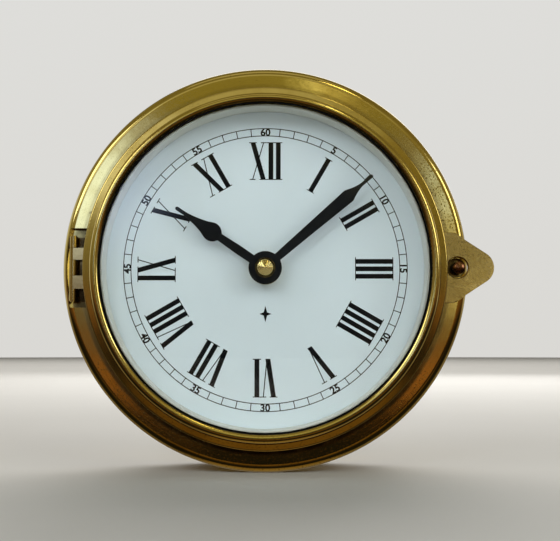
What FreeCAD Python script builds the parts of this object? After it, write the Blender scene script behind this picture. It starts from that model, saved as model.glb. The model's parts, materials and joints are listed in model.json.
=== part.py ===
"""Ship's deck clock: a hinged-bezel brass case with a striking quartz movement.

Lengths are millimetres. The origin is the centre of the back face, where the clock lies
against the bulkhead. +Z is up (12 o'clock) and the dial faces -Y, so a "depth" below is the
distance forward of the back face, and a point at depth d has y = -d.
"""
import FreeCAD
import Part
import math
import os

from FreeCAD import Vector

# ---------------------------------------------------------------- driving dimensions
# case
CASE_R = 75.6
CASE_WALL = 2.2
SHOULDER = 38.0            # depth of the case's front shoulder
SHOULDER_THICK = 5.0
EDGE_ROUND = 3.2           # rounding of the shoulder's outer edge
MOUTH_R = 61.5             # opening in the shoulder
LEDGE_R = 58.3             # inner radius of the ledge that the dial lies on
LEDGE_THICK = 1.5
COLLAR_R = 63.0
GROOVE_IN = 63.2           # gasket groove in the shoulder
GROOVE_OUT = 65.2
GROOVE_DEEP = 1.0
PLATE_THICK = 2.0          # back plate
PLATE_GAP = 0.05
REBATE_R = 74.1
LUG_CIRCLE = 69.6
LUG_R = 4.0
LUG_DEEP = 12.0
LUG_ANGLES = (45, 135, 225, 315)
MOUNT_CIRCLE = 54.0        # bulkhead screw holes
MOUNT_HOLE_R = 2.25
MOUNT_ANGLES = (30, 150, 270)

# bezel
BEZEL_R = 67.4
BEZEL_BORE = 62.0
BEZEL_LIP = 61.0
BEZEL_FLOOR = SHOULDER + 0.25
BEZEL_LAND = SHOULDER + 4.1
BEZEL_TOP = SHOULDER + 8.8
GLASS_BACK = SHOULDER + 4.9
GLASS_THICK = 2.2
GLASS_R = 61.8
SEAL_THICK = 0.4
SEAL_IN = 60.3
SEAL_FRONT = GLASS_BACK + GLASS_THICK + SEAL_THICK

# dial and dial ring
DIAL_BACK = SHOULDER - SHOULDER_THICK - LEDGE_THICK - 0.3
DIAL_THICK = 0.8
DIAL_FRONT = DIAL_BACK + DIAL_THICK
DIAL_R = 61.2
RING_IN = 59.8
RING_OUT = 60.5
RING_TOP = GLASS_BACK - 0.4

# hinge, with its axis parallel to Z
HINGE_X = -71.4
HINGE_DEPTH = 37.5
KNUCKLE_R = 1.5
PIN_R = 0.8
PIN_FIT = 0.03
POCKET_HALF = 14.8
POCKET_R = 74.0
POCKET_X = -66.3
POCKET_FLOOR = 34.0
LEAF_THICK = 1.0
STRAP_BACK = 38.2
STRAP_FRONT = 39.0
CASE_KNUCKLES = ((-12.3, -8.0), (-2.8, 2.8), (7.5, 11.6))
BEZEL_KNUCKLES = ((-7.85, -2.95), (2.95, 7.35))

# opening tab and catch
TAB_FRONT = BEZEL_FLOOR + 1.5
TAB_HOLE_X = 71.3
TAB_HOLE_R = 3.85
STUD_X = 72.0
STUD_R = 2.3
STUD_DOME = 0.9
WELL_X = 71.0
WELL_R = 3.6
WELL_FLOOR = 34.4

# hands, as angles clockwise from 12 o'clock
MINUTE_ANGLE = 49.2
HOUR_ANGLE = 304.1
HAND_THICK = 0.5
HOUR_HAND_BACK = 36.1
MINUTE_HAND_BACK = 37.9
HUB_R = 6.2

# movement housing
HOUSE_X = 43.0
HOUSE_LOW = -41.0
HOUSE_HIGH = 30.0
HOUSE_ROUND = 6.0
HOUSE_WALL = 1.6
HOUSE_BACK = 9.0
HOUSE_SPLIT = 19.0
HOUSE_FRONT = DIAL_BACK
BASE_BACK = HOUSE_FRONT - HOUSE_WALL
CORNER_BOSSES = ((-37, 24), (37, 24), (-37, -35), (37, -35))
TRAIN_BACK = 12.0
TRAIN_THICK = 1.2
TRAIN_FRONT = TRAIN_BACK + TRAIN_THICK
PILLARS = ((12.5, 21.5), (-23.5, 20.0), (1.0, -13.5))
PILLAR_R = 2.0
BOARD_BACK = 13.5
BOARD_THICK = 1.5
BOARD_POSTS = ((24.0, 16.5), (38.0, -10.0))

# gear train
PRESSURE = math.radians(28)
TOOTH_TOP = 0.75           # addendum, in modules
TOOTH_FOOT = 1.05          # dedendum, in modules
TOOTH_PLAY = 0.16          # thinning of each tooth at the pitch circle, in modules
FINE = 0.30                # modules
TRAIN = 0.35
MOTION = 0.45
HOUR_MODULE = MOTION * (12 + 36) / (10 + 40)
ARBOR_R = 0.6
PIVOT_R = 0.4
PIVOT_HOLE = 0.45
PIVOT_REACH = 0.9

BATTERY_R = 7.25
BATTERY_LONG = 49.5
BATTERY_NUB = 1.0
BATTERY_Z = -29.0
BATTERY_DEPTH = 16.9

SPEAKER_Z = 47.5
SPEAKER_R = 19.0
VOLUME_AT = (31.0, 12.0)
SWITCH_AT = (31.0, -4.0)
SWITCH_TRAVEL = 4.0

BACKWARD = Vector(0, 1, 0)
FORWARD = Vector(0, -1, 0)
CENTRE = Vector(0, 0, 0)


# ---------------------------------------------------------------- shape helpers
def disc(radius, back, front, x=0.0, z=0.0):
    """A cylinder along the clock's axis between two depths."""
    return Part.makeCylinder(radius, front - back, Vector(x, -back, z), FORWARD)


def ring(inner, outer, back, front, x=0.0, z=0.0):
    return disc(outer, back, front, x, z).cut(disc(inner, back - 1, front + 1, x, z))


def block(x0, x1, z0, z1, back, front):
    return Part.makeBox(x1 - x0, front - back, z1 - z0, Vector(x0, -front, z0))


def edges_through(points):
    """Edges of a closed outline. A point is (a, b); an arc is ((mid a, mid b), (end a, end b))."""
    edges = []
    here = points[0]
    for step in list(points[1:]) + [points[0]]:
        if isinstance(step[0], tuple):
            middle, end = step
            edges.append(((here, middle, end), end))
        else:
            end = step
            edges.append(((here, end), end))
        here = end
    return [corners for corners, _ in edges]


def outline(points, place):
    """A face from a closed outline; place turns its two numbers into a point in space."""
    edges = []
    for corners in edges_through(points):
        at = [place(a, b) for a, b in corners]
        if (at[0] - at[-1]).Length < 1e-7:
            continue
        if len(at) == 3:
            edges.append(Part.Arc(*at).toShape())
        else:
            edges.append(Part.LineSegment(*at).toShape())
    return Part.Face(Part.Wire(edges))


def turned(points, x=0.0, z=0.0):
    """A solid of revolution about the clock's axis from (radius, depth) points."""
    face = outline(points, lambda r, d: Vector(r, -d, 0))
    solid = face.revolve(CENTRE, BACKWARD, 360)
    solid.translate(Vector(x, 0, z))
    return solid


def dome_to_axis(radius, tall, front):
    """The middle and end of a round cap's arc, from the rim at front - tall to the axis."""
    ball = (radius ** 2 + tall ** 2) / (2 * tall)
    half = math.asin(radius / ball) / 2
    return (ball * math.sin(half), front - ball * (1 - math.cos(half))), (0, front)


def plate(points, back, front):
    """A flat piece with an (x, z) outline between two depths."""
    face = outline(points, lambda x, z: Vector(x, -back, z))
    return face.extrude(Vector(0, back - front, 0))


def rounded_plate(x0, x1, z0, z1, corner, back, front):
    c = corner
    k = corner * (1 - math.sqrt(0.5))
    return plate([
        (x0 + c, z0), (x1 - c, z0), ((x1 - k, z0 + k), (x1, z0 + c)),
        (x1, z1 - c), ((x1 - k, z1 - k), (x1 - c, z1)),
        (x0 + c, z1), ((x0 + k, z1 - k), (x0, z1 - c)),
        (x0, z0 + c), ((x0 + k, z0 + k), (x0 + c, z0)),
    ], back, front)


def polar(radius, degrees):
    """x and z of a point at an angle counted anticlockwise from 3 o'clock, seen from the front."""
    a = math.radians(degrees)
    return radius * math.cos(a), radius * math.sin(a)


def joined(shapes):
    whole = shapes[0]
    for shape in shapes[1:]:
        whole = whole.fuse(shape)
    return whole.removeSplitter()


def group(shapes):
    return Part.makeCompound(shapes)


def countersunk_screw(head_r, shank_r, length, back, x, z):
    """A screw driven forward from a back face, with its slotted head flush."""
    head = head_r - shank_r
    body = turned([(0, back), (head_r, back), (shank_r, back + head),
                   (shank_r, back + length), (0, back + length)], x, z)
    return body.cut(block(x - head_r, x + head_r, z - 0.3, z + 0.3, back - 1, back + 0.45 * head))


def pan_screw(head_r, head_deep, shank_r, length, back, x, z):
    """A screw driven forward, whose flat head lies behind the face at depth back."""
    body = turned([(0, back - head_deep), (0.8 * head_r, back - head_deep),
                   (head_r, back - 0.7 * head_deep), (head_r, back), (shank_r, back),
                   (shank_r, back + length), (0, back + length)], x, z)
    slot = block(x - head_r, x + head_r, z - 0.25, z + 0.25,
                 back - head_deep - 1, back - 0.55 * head_deep)
    return body.cut(slot)


def coil_spring(radius, wire_r, pitch, half_turns, start, direction):
    """A wire spring of half turns, each a flat arc tipped so that it climbs half the pitch."""
    arcs = []
    for n in range(half_turns):
        side = 1 if n % 2 == 0 else -1
        begin = Vector(side * radius, 0, n * pitch / 2)
        end = Vector(-side * radius, 0, (n + 1) * pitch / 2)
        section = Part.Face(Part.Wire(Part.makeCircle(wire_r, begin, Vector(0, 1, 0))))
        axis = Vector(side * pitch / 4, 0, radius)
        arcs.append(section.revolve((begin + end) * 0.5, axis, 180))
    spring = joined(arcs)
    spring.Placement = FreeCAD.Placement(start, FreeCAD.Rotation(Vector(0, 0, 1), direction))
    return spring


# ---------------------------------------------------------------- gears
def involute(angle):
    return math.tan(angle) - angle


def tooth_points(teeth, module):
    """Half a tooth as (radius, angle from the tooth's centre line), from root to tip."""
    pitch_r = teeth * module / 2
    base_r = pitch_r * math.cos(PRESSURE)
    foot_r = pitch_r - TOOTH_FOOT * module
    tip_r = pitch_r + TOOTH_TOP * module
    half = math.pi / (2 * teeth) - TOOTH_PLAY * module / (2 * pitch_r)
    at_base = half + involute(PRESSURE)
    low = max(base_r, foot_r)
    points = []
    if foot_r < base_r:
        points.append((foot_r, at_base))
    for k in range(4):
        r = low + (tip_r - low) * k / 3
        points.append((r, at_base - involute(math.acos(min(1.0, base_r / r)))))
    return points


def gear(teeth, module, back, front, at, phase=0.0, bore=0.0):
    """A spur gear; phase is the angle of one tooth, anticlockwise from 3 o'clock, in radians."""
    flank = tooth_points(teeth, module)
    corners = []
    for n in range(teeth):
        middle = phase + 2 * math.pi * n / teeth
        side = [(r, middle - a) for r, a in flank] + [(r, middle + a) for r, a in reversed(flank)]
        corners += [(at[0] + r * math.cos(a), at[1] + r * math.sin(a)) for r, a in side]
    wheel = plate(corners, back, front)
    if bore:
        wheel = wheel.cut(disc(bore, back - 1, front + 1, *at))
    return wheel


def spacing(module, teeth_a, teeth_b):
    return module * (teeth_a + teeth_b) / 2


def beside(at, distance, degrees):
    dx, dz = polar(distance, degrees)
    return at[0] + dx, at[1] + dz


def meshing_phase(at_a, teeth_a, phase_a, at_b, teeth_b):
    """The phase that puts a gap of gear b on the tooth of gear a between their centres."""
    toward = math.atan2(at_b[1] - at_a[1], at_b[0] - at_a[0])
    return toward + math.pi - (phase_a - toward) * teeth_a / teeth_b + math.pi / teeth_b


# positions of the arbors, working out from the centre
AT_CENTRE = (0.0, 0.0)
AT_THIRD = beside(AT_CENTRE, spacing(TRAIN, 60, 8), 60)
AT_SECONDS = beside(AT_THIRD, spacing(FINE, 64, 8), 150)
AT_INTERMEDIATE = beside(AT_SECONDS, spacing(FINE, 60, 10), 180)
AT_ROTOR = beside(AT_INTERMEDIATE, spacing(FINE, 50, 10), 250)
AT_MOTION = beside(AT_CENTRE, spacing(MOTION, 12, 36), -20)
AT_SETTING = beside(AT_MOTION, spacing(MOTION, 36, 12), -50)


def arbor(at, back, front, radius=ARBOR_R):
    """A shaft with a thinner pivot at each end."""
    return joined([disc(radius, back, front, *at),
                   disc(PIVOT_R, back - PIVOT_REACH, front + PIVOT_REACH, *at)])


# ---------------------------------------------------------------- case
def case_body():
    bend = EDGE_ROUND * (1 - math.sqrt(0.5))
    inner = CASE_R - CASE_WALL
    under = SHOULDER - SHOULDER_THICK
    shell = turned([
        (CASE_R, 0.4), (CASE_R, SHOULDER - EDGE_ROUND),
        ((CASE_R - bend, SHOULDER - bend), (CASE_R - EDGE_ROUND, SHOULDER)),
        (GROOVE_OUT, SHOULDER), (GROOVE_OUT, SHOULDER - GROOVE_DEEP),
        (GROOVE_IN, SHOULDER - GROOVE_DEEP), (GROOVE_IN, SHOULDER),
        (MOUTH_R, SHOULDER), (MOUTH_R, DIAL_BACK), (LEDGE_R, DIAL_BACK),
        (LEDGE_R, DIAL_BACK - LEDGE_THICK), (COLLAR_R, DIAL_BACK - LEDGE_THICK),
        (COLLAR_R, under), (inner, under), (inner, PLATE_THICK),
        (REBATE_R, PLATE_THICK), (REBATE_R, 0), (CASE_R - 0.4, 0),
    ])
    for angle in LUG_ANGLES:
        at = polar(LUG_CIRCLE, angle)
        shell = shell.fuse(disc(LUG_R, PLATE_THICK, LUG_DEEP, *at))
        shell = shell.cut(disc(1.25, 0, LUG_DEEP - 2, *at))
    pocket = disc(POCKET_R, POCKET_FLOOR, SHOULDER + 1).common(
        block(-CASE_R, POCKET_X, -POCKET_HALF, POCKET_HALF, POCKET_FLOOR, SHOULDER + 1))
    shell = shell.cut(pocket)
    shell = shell.cut(disc(WELL_R, WELL_FLOOR, SHOULDER + 1, WELL_X))
    shell = shell.cut(disc(0.87, under - 1, SHOULDER, STUD_X))
    for z in LEAF_SCREWS_Z:
        shell = shell.cut(disc(0.6, POCKET_FLOOR - 0.9, SHOULDER, LEAF_SCREW_X, z))
    return shell.removeSplitter()


def back_plate():
    body = disc(REBATE_R - PLATE_GAP, 0, PLATE_THICK)
    body = body.cut(rounded_plate(-40, 40, -38, 26, 6, -1, PLATE_THICK + 1))
    for angle in MOUNT_ANGLES:
        body = body.cut(disc(MOUNT_HOLE_R, -1, PLATE_THICK + 1, *polar(MOUNT_CIRCLE, angle)))
    for angle in LUG_ANGLES:
        at = polar(LUG_CIRCLE, angle)
        body = body.cut(turned([(0, 0), (2.8, 0), (1.25, 1.55), (1.25, 3), (0, 3)], *at))
    for at in sound_holes():
        body = body.cut(disc(1.2, -1, PLATE_THICK + 1, *at))
    return body


def sound_holes():
    """One hole, a ring of six and a ring of twelve, in front of the loudspeaker."""
    holes = [(0.0, SPEAKER_Z)]
    for count, radius in ((6, 5.0), (12, 10.0)):
        for n in range(count):
            x, z = polar(radius, 360 * n / count)
            holes.append((x, SPEAKER_Z + z))
    return holes


def back_plate_screws():
    return group([countersunk_screw(2.8, 1.25, 9, 0, *polar(LUG_CIRCLE, a)) for a in LUG_ANGLES])


def bezel_gasket():
    return ring(GROOVE_IN, GROOVE_OUT, SHOULDER - GROOVE_DEEP, SHOULDER + 0.2)


# ---------------------------------------------------------------- hinge
LEAF_SCREW_X = -68.4
LEAF_SCREWS_Z = (-10.0, 0.0, 9.5)
STRAP_SCREW_X = -64.4
STRAP_SCREWS_Z = (-6.5, 6.5)


def knuckle(low, high, bore):
    base = Vector(HINGE_X, -HINGE_DEPTH, low)
    tube = Part.makeCylinder(KNUCKLE_R, high - low, base, Vector(0, 0, 1))
    return tube, Part.makeCylinder(bore, high - low, base, Vector(0, 0, 1))


def hinge_case_leaf():
    """A leaf screwed to the pocket's floor, whose outer edge curls up round the pin."""
    low = CASE_KNUCKLES[0][0]
    high = CASE_KNUCKLES[-1][1]
    leaf = block(HINGE_X - 1.2, POCKET_X - 0.4, low, high, POCKET_FLOOR, POCKET_FLOOR + LEAF_THICK)
    bores = []
    for z0, z1 in CASE_KNUCKLES:
        tube, bore = knuckle(z0, z1, PIN_R)
        web = block(HINGE_X - 1.2, HINGE_X + 0.4, z0, z1, POCKET_FLOOR, HINGE_DEPTH)
        leaf = leaf.fuse(web).fuse(tube)
        bores.append(bore)
    for bore in bores:
        leaf = leaf.cut(bore)
    for z in LEAF_SCREWS_Z:
        leaf = leaf.cut(disc(0.6, POCKET_FLOOR - 1, POCKET_FLOOR + 2, LEAF_SCREW_X, z))
    return leaf.removeSplitter()


def small_screw(x, z, face, reach, facing):
    """A cheese-head screw on a face; facing +1 has its head in front, -1 behind."""
    tall = 0.6
    ends = sorted((face, face + facing * tall))
    body = disc(1.05, *ends, x, z)
    ends = sorted((face, face - facing * reach))
    body = body.fuse(disc(0.6, *ends, x, z))
    outer = face + facing * tall
    ends = sorted((outer + facing, outer - facing * 0.25))
    return body.cut(block(x - 2, x + 2, z - 0.15, z + 0.15, *ends)).removeSplitter()


def hinge_case_screws():
    face = POCKET_FLOOR + LEAF_THICK
    return group([small_screw(LEAF_SCREW_X, z, face, 1.8, 1) for z in LEAF_SCREWS_Z])


def hinge_pin():
    low = CASE_KNUCKLES[0][0] - 0.4
    high = CASE_KNUCKLES[-1][1] + 0.4
    pin = Part.makeCylinder(PIN_R, high - low, Vector(HINGE_X, -HINGE_DEPTH, low), Vector(0, 0, 1))
    for z in (low, high - 0.4):
        pin = pin.fuse(Part.makeCylinder(1.1, 0.4, Vector(HINGE_X, -HINGE_DEPTH, z), Vector(0, 0, 1)))
    return pin.removeSplitter()


def strap_plate():
    """The part of the bezel's leaf that is let into the bezel's floor."""
    return block(-66.2, -62.5, -8.6, 8.6, STRAP_BACK, STRAP_FRONT)


def hinge_bezel_leaf():
    leaf = strap_plate()
    bores = []
    for z0, z1 in BEZEL_KNUCKLES:
        tube, bore = knuckle(z0, z1, PIN_R + PIN_FIT)
        leaf = leaf.fuse(block(HINGE_X, -66.0, z0, z1, STRAP_BACK, STRAP_FRONT)).fuse(tube)
        bores.append(bore)
    for bore in bores:
        leaf = leaf.cut(bore)
    for z in STRAP_SCREWS_Z:
        leaf = leaf.cut(turned([(0, STRAP_BACK), (1.2, STRAP_BACK), (0.6, STRAP_BACK + 0.6),
                                (0.6, STRAP_FRONT + 1), (0, STRAP_FRONT + 1)], STRAP_SCREW_X, z))
    return leaf.removeSplitter()


def hinge_bezel_screws():
    return group([countersunk_screw(1.2, 0.6, 2.9, STRAP_BACK, STRAP_SCREW_X, z)
                  for z in STRAP_SCREWS_Z])


# ---------------------------------------------------------------- bezel and glass
TAB_SCREWS = ((65.5, -6.0), (65.5, 6.0))


def tab_outline():
    return plate([(64.0, -13.2), (70.6, -13.0), (74.3, -10.2), (81.8, -5.3),
                  ((84.8, 0.0), (81.8, 5.3)), (74.3, 10.2), (70.6, 13.0), (64.0, 13.2)],
                 BEZEL_FLOOR, TAB_FRONT)


def bezel_ring():
    """A flat outer land, a shallow valley and a rounded bead that overhangs the glass."""
    edge = 0.8
    body = turned([
        (BEZEL_BORE, BEZEL_FLOOR), (BEZEL_R, BEZEL_FLOOR), (BEZEL_R, BEZEL_LAND - edge),
        ((BEZEL_R - 0.22, BEZEL_LAND - 0.22), (BEZEL_R - edge, BEZEL_LAND)),
        (64.8, BEZEL_LAND + 0.25), ((64.5, BEZEL_LAND + 0.05), (64.3, BEZEL_LAND + 0.5)),
        (64.25, BEZEL_TOP - 1.29), ((63.7, BEZEL_TOP - 0.47), (62.45, BEZEL_TOP)),
        ((61.65, BEZEL_TOP - 0.18), (BEZEL_LIP, BEZEL_TOP - 0.67)),
        (BEZEL_LIP, SEAL_FRONT), (BEZEL_BORE, SEAL_FRONT),
    ])
    body = body.cut(tab_outline())
    body = body.cut(strap_plate())
    for z0, z1 in BEZEL_KNUCKLES:
        body = body.cut(block(HINGE_X, -66.0, z0, z1, STRAP_BACK, STRAP_FRONT))
    for x, z in TAB_SCREWS:
        body = body.cut(disc(0.6, BEZEL_FLOOR, BEZEL_FLOOR + 3, x, z))
    for z in STRAP_SCREWS_Z:
        body = body.cut(disc(0.6, STRAP_BACK, STRAP_BACK + 2.9, STRAP_SCREW_X, z))
    return body


def bezel_tab():
    tab = tab_outline()
    hole = turned([(0, BEZEL_FLOOR), (TAB_HOLE_R, BEZEL_FLOOR), (TAB_HOLE_R, TAB_FRONT - 0.35),
                   (TAB_HOLE_R + 0.35, TAB_FRONT), (0, TAB_FRONT)], TAB_HOLE_X)
    tab = tab.cut(hole)
    for x, z in TAB_SCREWS:
        tab = tab.cut(turned([(0, BEZEL_FLOOR), (1.2, BEZEL_FLOOR), (0.6, BEZEL_FLOOR + 0.6),
                              (0.6, TAB_FRONT + 1), (0, TAB_FRONT + 1)], x, z))
    return tab


def bezel_tab_screws():
    return group([countersunk_screw(1.2, 0.6, 3.0, BEZEL_FLOOR, x, z) for x, z in TAB_SCREWS])


def glass():
    return disc(GLASS_R, GLASS_BACK, GLASS_BACK + GLASS_THICK)


def glass_gasket():
    return ring(SEAL_IN, BEZEL_BORE - 0.05, GLASS_BACK + GLASS_THICK, SEAL_FRONT)


def glass_retainer():
    """A sprung snap ring behind the glass, open for a few degrees at the bottom."""
    snap = ring(61.0, BEZEL_BORE - 0.03, GLASS_BACK - 1.5, GLASS_BACK)
    return snap.cut(block(-2.5, 2.5, -70, -50, GLASS_BACK - 2, GLASS_BACK + 1))


# ---------------------------------------------------------------- catch
def catch_stud():
    """A domed stud on a thin shank, with its end peened over behind the shoulder."""
    under = SHOULDER - SHOULDER_THICK
    front = SHOULDER + 2.3
    return turned([
        (0, under - 1.2), (1.15, under - 1.2), (1.15, under - 0.2), (0.8, under - 0.2),
        (0.8, SHOULDER - 1.2), (STUD_R, SHOULDER - 1.2), (STUD_R, front - STUD_DOME),
        dome_to_axis(STUD_R, STUD_DOME, front),
    ], STUD_X)


def catch_spring():
    return coil_spring(1.45, 0.2, 0.75, 5, Vector(STUD_X, -(WELL_FLOOR + 0.25), 0), FORWARD)


# ---------------------------------------------------------------- dial
def dial():
    return ring(4.05, DIAL_R, DIAL_BACK, DIAL_FRONT)


def dial_ring():
    """A turned band round the dial's margin, with a small rebate under its foot."""
    undercut = RING_IN + 0.45
    return turned([(undercut, DIAL_FRONT), (MOUTH_R - 0.1, DIAL_FRONT),
                   (MOUTH_R - 0.1, DIAL_FRONT + 1.4), (RING_OUT, DIAL_FRONT + 1.4),
                   (RING_OUT, RING_TOP), (RING_IN + 0.15, RING_TOP), (RING_IN, RING_TOP - 0.15),
                   (RING_IN, DIAL_FRONT + 0.35), (undercut, DIAL_FRONT + 0.35)])


def dial_nut():
    front = DIAL_FRONT + 2.0
    nut = ring(4.0, 6.0, DIAL_FRONT, front)
    for x in (-5.5, 5.5):
        nut = nut.cut(block(x - 0.9, x + 0.9, -0.6, 0.6, DIAL_FRONT + 0.8, front + 1))
    return nut


def centre_bush():
    return turned([(3.06, BASE_BACK), (6.0, BASE_BACK), (6.0, BASE_BACK + 0.6),
                   (4.0, BASE_BACK + 0.6), (4.0, DIAL_FRONT + 3.2), (3.8, DIAL_FRONT + 3.4),
                   (3.06, DIAL_FRONT + 3.4)])


# ---------------------------------------------------------------- hands
def hand_pointing_up(points, hub_r, bore, back):
    """A flat hand from its right-hand outline, mirrored about its centre line."""
    left = []
    outline_right = list(points)
    for k in range(len(outline_right) - 1, -1, -1):
        here = outline_right[k]
        end = outline_right[k - 1] if k else None
        if isinstance(here[0], tuple) and end is not None:
            target = end[1] if isinstance(end[0], tuple) else end
            left.append(((-here[0][0], here[0][1]), (-target[0], target[1])))
        elif end is not None:
            target = end[1] if isinstance(end[0], tuple) else end
            left.append((-target[0], target[1]))
    tip = outline_right[-1][1] if isinstance(outline_right[-1][0], tuple) else outline_right[-1]
    top = ((0.0, tip[1] + tip[0]), (-tip[0], tip[1]))
    blade = plate(outline_right + [top] + left, back, back + HAND_THICK)
    whole = blade.fuse(disc(hub_r, back, back + HAND_THICK))
    return whole.cut(disc(bore, back - 1, back + HAND_THICK + 1)).removeSplitter()


def minute_hand():
    hand = hand_pointing_up([
        (1.35, 3.0), (2.55, 41.3), ((1.35, 44.2), (0.6, 47.6)), (0.65, 52.4),
    ], HUB_R, 1.2, MINUTE_HAND_BACK)
    hand.rotate(CENTRE, BACKWARD, MINUTE_ANGLE)
    return hand


def hour_hand():
    hand = hand_pointing_up([
        (1.45, 3.0), (1.7, 12.5), (1.3, 20.6), ((3.5, 23.6), (2.75, 26.6)),
        ((1.4, 31.6), (0.7, 36.3)), (0.7, 39.9),
    ], HUB_R - 0.3, 2.7, HOUR_HAND_BACK)
    hand.rotate(CENTRE, BACKWARD, HOUR_ANGLE)
    return hand


def hand_nut():
    """A turned cap with a thin rim, a groove and a shallow cone."""
    back = MINUTE_HAND_BACK + HAND_THICK
    return turned([(0, back + 1.2), (1.2, back + 1.2), (1.2, back), (3.75, back),
                   (3.75, back + 0.9), (3.55, back + 1.1), (3.1, back + 0.9),
                   (2.95, back + 1.9), (2.8, back + 2.1), (0.3, back + 2.8), (0, back + 2.85)])


# ---------------------------------------------------------------- motion work
HOUR_WHEEL_BACK = 27.6
MOTION_WHEEL_BACK = 25.2


def minute_arbor():
    """The centre arbor with its cannon pinion, up to the seat of the minute hand."""
    seat_back = MINUTE_HAND_BACK
    parts = [
        disc(0.5, TRAIN_BACK, 14.0), disc(0.8, TRAIN_FRONT + 0.1, 25.0),
        gear(12, MOTION, 25.0, 26.4, AT_CENTRE, PHASE_CANNON),
        disc(1.45, 26.4, seat_back), disc(1.2, seat_back, seat_back + 1.7),
    ]
    return joined(parts)


PHASE_CANNON = 0.0
PHASE_MOTION = meshing_phase(AT_CENTRE, 12, PHASE_CANNON, AT_MOTION, 36)
PHASE_MOTION_PINION = 0.0
PHASE_HOUR = meshing_phase(AT_MOTION, 10, PHASE_MOTION_PINION, AT_CENTRE, 40)
PHASE_SETTING = meshing_phase(AT_MOTION, 36, PHASE_MOTION, AT_SETTING, 12)


def hour_wheel():
    tube_front = HOUR_HAND_BACK
    body = joined([gear(40, HOUR_MODULE, HOUR_WHEEL_BACK, HOUR_WHEEL_BACK + 1, AT_CENTRE, PHASE_HOUR),
                   disc(3.0, HOUR_WHEEL_BACK, tube_front), disc(2.7, tube_front, tube_front + 0.8)])
    return body.cut(disc(1.53, HOUR_WHEEL_BACK - 1, tube_front + 2))


def motion_wheel():
    body = joined([gear(36, MOTION, MOTION_WHEEL_BACK, MOTION_WHEEL_BACK + 1, AT_MOTION, PHASE_MOTION),
                   disc(1.6, MOTION_WHEEL_BACK, HOUR_WHEEL_BACK - 0.4, *AT_MOTION),
                   gear(10, HOUR_MODULE, HOUR_WHEEL_BACK - 0.4, HOUR_WHEEL_BACK + 1.3, AT_MOTION,
                        PHASE_MOTION_PINION)])
    return body.cut(disc(0.86, MOTION_WHEEL_BACK - 1, BASE_BACK, *AT_MOTION))


def setting_knob():
    """A knurled knob behind the housing on a long arbor that turns the motion wheel."""
    back = HOUSE_BACK - 4.2
    grip = disc(6.6, back, HOUSE_BACK - 0.4, *AT_SETTING)
    for n in range(24):
        x, z = beside(AT_SETTING, 6.9, 15 * n)
        grip = grip.cut(disc(0.55, back - 1, HOUSE_BACK, x, z))
    body = joined([
        grip, disc(1.0, back, BASE_BACK - 0.4, *AT_SETTING),
        disc(0.6, back, BASE_BACK + PIVOT_REACH, *AT_SETTING),
        gear(12, MOTION, MOTION_WHEEL_BACK, MOTION_WHEEL_BACK + 1, AT_SETTING, PHASE_SETTING)])
    for n in range(3):
        x, z = beside(AT_SETTING, 3.6, 90 + 120 * n)
        body = body.cut(disc(0.9, back - 1, back + 0.5, x, z))
    return body


# ---------------------------------------------------------------- going train
CENTRE_WHEEL_BACK = 22.6
THIRD_WHEEL_BACK = 19.8
SECONDS_WHEEL_BACK = 17.0
INTERMEDIATE_BACK = 14.6
WHEEL_THICK = 0.8
PHASE_THIRD_PINION = 0.0
PHASE_CENTRE = meshing_phase(AT_THIRD, 8, PHASE_THIRD_PINION, AT_CENTRE, 60)
PHASE_SECONDS_PINION = 0.0
PHASE_THIRD = meshing_phase(AT_SECONDS, 8, PHASE_SECONDS_PINION, AT_THIRD, 64)
PHASE_INTERMEDIATE_PINION = 0.0
PHASE_SECONDS = meshing_phase(AT_INTERMEDIATE, 10, PHASE_INTERMEDIATE_PINION, AT_SECONDS, 60)
PHASE_ROTOR_PINION = 0.0
PHASE_INTERMEDIATE = meshing_phase(AT_ROTOR, 10, PHASE_ROTOR_PINION, AT_INTERMEDIATE, 50)


def centre_wheel():
    return gear(60, TRAIN, CENTRE_WHEEL_BACK, CENTRE_WHEEL_BACK + WHEEL_THICK, AT_CENTRE,
                PHASE_CENTRE, bore=0.8)


def clutch_spring():
    """A dished washer that lets the hands be set while the train stands still."""
    back = CENTRE_WHEEL_BACK + WHEEL_THICK
    return turned([(0.8, 24.7), (0.8, 25.0), (2.0, 25.0), (4.6, back + 0.3), (4.6, back), (4.0, back),
                   (1.8, 24.7)])


def train_wheel(at, teeth, module, wheel_back, phase, pinion_teeth, pinion_module, pinion_phase):
    """A moulded wheel, its pinion in front of or behind it, and its arbor."""
    front = BASE_BACK - 0.1
    pinion_back = wheel_back + (2.4 if pinion_teeth == 8 else 2.0)
    return joined([
        arbor(at, TRAIN_FRONT + 0.1, front),
        gear(teeth, module, wheel_back, wheel_back + WHEEL_THICK, at, phase),
        disc(1.0, wheel_back, pinion_back, *at),
        gear(pinion_teeth, pinion_module, pinion_back, pinion_back + 1.6, at, pinion_phase)])


def third_wheel():
    return train_wheel(AT_THIRD, 64, FINE, THIRD_WHEEL_BACK, PHASE_THIRD, 8, TRAIN,
                       PHASE_THIRD_PINION)


def seconds_wheel():
    return train_wheel(AT_SECONDS, 60, FINE, SECONDS_WHEEL_BACK, PHASE_SECONDS, 8, FINE,
                       PHASE_SECONDS_PINION)


def intermediate_wheel():
    return train_wheel(AT_INTERMEDIATE, 50, FINE, INTERMEDIATE_BACK, PHASE_INTERMEDIATE, 10, FINE,
                       PHASE_INTERMEDIATE_PINION)


def rotor():
    """The stepping motor's magnet on its pinion."""
    return joined([
        arbor(AT_ROTOR, TRAIN_FRONT + 0.1, BASE_BACK - 0.1),
        gear(10, FINE, 14.2, 15.9, AT_ROTOR, PHASE_ROTOR_PINION),
        disc(3.0, 16.6, 19.4, *AT_ROTOR)])


# ---------------------------------------------------------------- stepping motor
STATOR_BACK = 17.3
STATOR_FRONT = 18.5
CORE_Z = -6.0


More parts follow.
